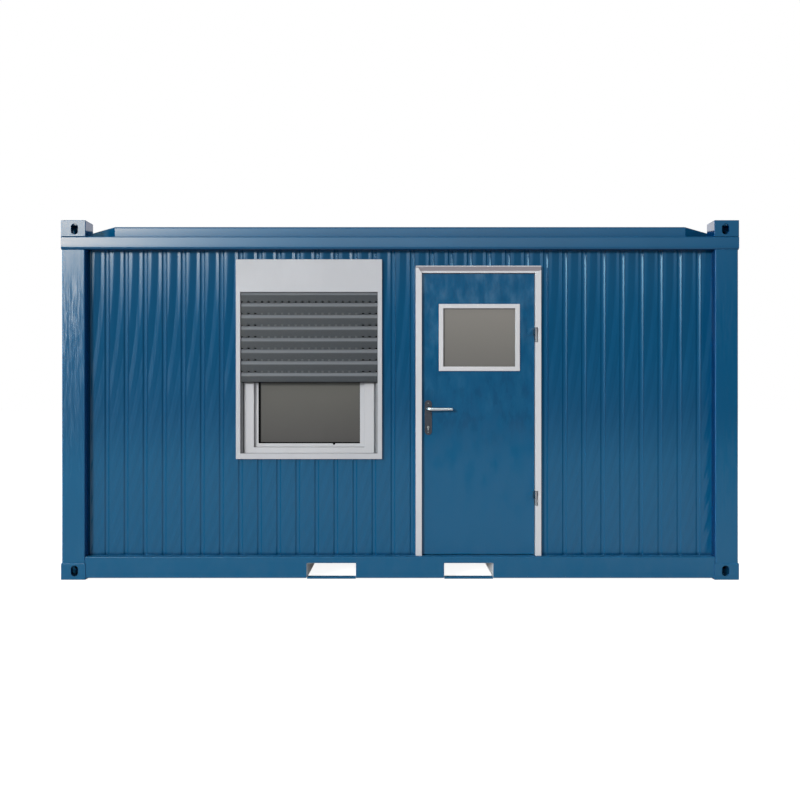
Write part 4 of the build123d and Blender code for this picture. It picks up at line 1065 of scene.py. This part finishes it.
# Lever, on both sides: a neck, a bend and a tapering round grip
LEVER_X = 0.206
GRIP_HALF = 0.0082
lever_low, lever_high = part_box("door_lever")
LEVER_Z = (lever_low.z + lever_high.z) / 2
shape = bmesh.new()
for face_y, tip_y, out in ((leaf_low.y, lever_low.y, -1), (leaf_high.y, lever_high.y, 1)):
    grip_y = tip_y - out * 0.0085
    start_y = face_y + out * 0.0075
    stations = []
    for share, radius in ((0.0, 0.0125), (0.6, 0.0115), (0.8, 0.0112)):
        bend_y = start_y + (grip_y - start_y) * share * 0.75
        stations.append(((LEVER_X, bend_y, LEVER_Z), (1, 0, 0), radius, radius))
    bend_radius = abs(grip_y - bend_y)
    for step in range(1, 7):
        sin, cos = math.sin(math.pi / 12 * step), math.cos(math.pi / 12 * step)
        x = LEVER_X + bend_radius * (1 - cos)
        centre = (x, bend_y + out * bend_radius * sin, LEVER_Z)
        stations.append((centre, (cos, -out * sin, 0), 0.0105 - 0.0022 * step / 6, 0.0124))
    grip = [
        (x + (lever_high.x - x) * share, 1, half_height)
        for share, half_height in ((0.12, 0.0122), (0.3, 0.0116), (0.6, 0.0109), (0.92, 0.0104))
    ]
    for back, scale in ((0.005, 0.98), (0.0022, 0.88), (0.0006, 0.6), (0.0, 0.2)):
        grip.append((lever_high.x - back, scale, 0.0102 * scale))
    for x, scale, half_height in grip:
        stations.append(((x, grip_y, LEVER_Z), (0, -out, 0), GRIP_HALF * scale, half_height))
    tube(stations, shape)
spindle = [(0.006, leaf_low.y - 0.01), (0.006, leaf_high.y + 0.01)]
turned(spindle, (LEVER_X, LEVER_Z), "Y", 20, shape)
shaded("lever_pair", shape, 40, lever_silver, "satin_steel", "door_lever", body="lever")

# Rose collar under each neck, a black slab as the painted shade of each cylinder's keyway, and the plate
# screws
plate_low, plate_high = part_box("handle_plates")
lock_low, lock_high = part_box("lock_cylinders")


def on_plates(profile, place, steps):
    """A bmesh with a turned shape of (radius, how far out) pairs on each side's plate."""
    shape = bmesh.new()
    for face_y, out in ((plate_low.y, -1), (plate_high.y, 1)):
        levels = [(radius, face_y + out * level) for radius, level in profile]
        turned(levels, place, "Y", steps, shape)
    return shape


collar = [(0.0155, -0.001), (0.0155, 0.001), (0.0145, 0.002), (0.0125, 0.0022)]
shape = on_plates(collar, (LEVER_X, LEVER_Z), 28)
shaded("handle_collars", shape, 40, plate_bronze, "bronze_plate", body="door")

lock_x = (lock_low.x + lock_high.x) / 2
lock_z = lock_high.z - 0.0085
shape = bmesh.new()
for face_y, out in ((lock_low.y, -1), (lock_high.y, 1)):
    low = (lock_x - 0.001, face_y - out * 0.002, lock_z - 0.004)
    slab(low, (lock_x + 0.001, face_y + out * 0.0004, lock_z + 0.004), shape)
rounded("keyway_shade_slabs", shape, 0.0003, seal_black, "satin_steel", body="door")

low_screw_z = plate_low.z + 0.02
high_screw_z = plate_high.z - 0.022
screw = [(0.0042, -0.001), (0.0042, 0.0004), (0.003, 0.0013), (0.001, 0.0016)]
shaded(
    "plate_screws", on_plates(screw, (LEVER_X, low_screw_z), 16), 40, hinge_steel, "satin_steel",
    body="door", count=2, step=(0, 0, high_screw_z - low_screw_z),
)


# Weld beads round the corner posts, where they meet castings and rails

POST_SIZE = 0.167
POST_BEND = 0.008
post_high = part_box("corner_posts")[1]
shape = bmesh.new()
for end, side in CORNERS:
    outer_x, outer_y = end * post_high.x, side * post_high.y
    inner_x, inner_y = outer_x - end * POST_SIZE, outer_y - side * POST_SIZE
    corners = [
        (outer_x - end * POST_BEND, outer_y), (inner_x + end * POST_BEND, outer_y),
        (outer_x, inner_y + side * POST_BEND), (outer_x, outer_y - side * POST_BEND),
    ]
    for level in (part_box("castings_bottom")[1].z, WALL_TOP_Z):
        for pair in ((0, 1), (2, 3), (0, 3)):
            shape.edges.new([shape.verts.new((*corners[index], level)) for index in pair])
beads = grown(made_from("weld_beads", shape), BEAD, spacing=0.004, radius=0.0028, finish=frame_blue)
fitted(beads, frame_blue, "blue_paint")


# Camera and floor

scene = bpy.context.scene
camera_data = bpy.data.cameras.new("camera")
camera_data.lens = 40.0
camera_data.sensor_width = 36.0
camera_data.clip_end = 200.0
camera = linked("camera", camera_data)
camera.location = (0.0, FRONT_Y - 6.4, 1.2955)
camera.rotation_euler = (math.radians(90), 0.0, 0.0)
scene.camera = camera


def ray_kinds(owner):
    """Whether a ray is the camera's own, a reflection, or one through glass."""
    path = put(owner, "LightPath").outputs
    return [Wire(path[f"Is {kind} Ray"]) for kind in ("Camera", "Glossy", "Transmission")]


FLOOR_WHITENESS = 0.9
FLOOR_GLINT = 0.08
matt = {"Roughness": 0.9, "Specular IOR Level": 0.0, "Emission Color": (1, 1, 1, 1)}
floor_material, shader, place = started("studio_floor", matt)
seen, mirrored, through = ray_kinds(place)
near_part = place.vector("LENGTH", output="Value").ramp(2.0, 22.0, 1.0, 0.2)
glint = mirrored.highest(through) * (near_part * FLOOR_GLINT)
marble = place.noise(0.7, 2.0).blend((0.66, 0.66, 0.66), (0.70, 0.70, 0.70))
near_part.blend((0.12, 0.12, 0.12), marble).into(shader, "Base Color")
(seen * FLOOR_WHITENESS + glint).into(shader, "Emission Strength")
floor_mesh = bpy.data.meshes.new("studio_floor")
floor_corners = [(-60, -40, -0.001), (60, -40, -0.001), (60, 90, -0.001), (-60, 90, -0.001)]
floor_mesh.from_pydata(floor_corners, [], [(0, 1, 2, 3)])
floor_mesh.materials.append(floor_material)
linked("studio_floor", floor_mesh)


# Studio light

DOME_LOW = 0.38
DOME_HIGH = 0.6
world = bpy.data.worlds.new("studio")
scene.world = world
world.use_nodes = True
background = world.node_tree.nodes["Background"]
x, y, z = made(world.node_tree, "TexCoord", output="Generated").parts()
seen, mirrored, through = ray_kinds(x)

# What shiny surfaces see in front: a bright window high on the left, dying away to the right
leftness = x.ramp(-0.36, 0.0, 1.0, 0.0, "LINEAR").maths("POWER", 3.0)
leftness = leftness.maths("MULTIPLY_ADD", 0.95, 0.03)
across = leftness + x.ramp(-0.05, 0.35, 0.12, 0.0, "LINEAR")
rise = z.ramp(0.0, 0.2, 0.0, 1.0, "LINEAR").maths("POWER", 3.0)
rise = rise * z.ramp(0.24, 0.55, 1.0, 0.08)
window_light = across.maths("MULTIPLY_ADD", rise.maths("MULTIPLY_ADD", 17.5, 0.75), 0.06)
window_light = window_light * y.ramp(0.08, 0.26, 1.0, 0.02)
dome = mirrored.pick(z.ramp(0.0, 0.8, DOME_LOW, DOME_HIGH), window_light)

# What they see behind the cabin: the lit backdrop
behind = y.ramp(0.6, 0.85)
back_rise = z.ramp(0.03, 0.15, 0.3, 1.0) * z.ramp(0.22, 0.45, 1.0, 0.15)
back_light = x.ramp(-0.35, 0.3, 2.4, 1.3) * back_rise
back_light = seen.highest(through).pick(back_light, 1.0)
backdrop = seen.highest(mirrored.highest(through) * behind)
backdrop.pick(dome, back_light).into(background, "Strength")

glare = (across * rise).ramp(0.1, 0.9)
front_tint = glare.blend((0.82, 1.0, 1.08), (1.12, 0.98, 0.79))
front_tint = x.ramp(-0.75, -0.5, 1.0, 0.0).blend(front_tint, (0.48, 0.85, 1.0))
(mirrored * (1.0 - behind)).blend((1.0, 1.0, 1.0), front_tint).into(background, "Color")


def softbox(name, place, aim, width, height, watts):
    """A flat lamp facing a point."""
    lamp_data = bpy.data.lights.new(name, "AREA")
    lamp_data.shape = "RECTANGLE"
    lamp_data.size = width
    lamp_data.size_y = height
    lamp_data.energy = watts
    lamp = linked(name, lamp_data)
    lamp.location = place
    lamp.rotation_euler = (Vector(aim) - Vector(place)).to_track_quat("-Z", "Y").to_euler()
    lamp.visible_glossy = False


softbox("key_softbox", (-19.8, -35.6, 9.4), (0.0, -1.2, 1.3), 7.2, 7.2, 10800.0)
softbox("backdrop_softbox", (0.0, 7.0, 1.4), (0.0, 0.0, 0.4), 8.0, 2.6, 160.0)
softbox("side_softbox", (28.0, 20.0, 10.0), (1.0, 0.0, 1.3), 7.0, 7.0, 5200.0)

scene.view_settings.view_transform = "Standard"
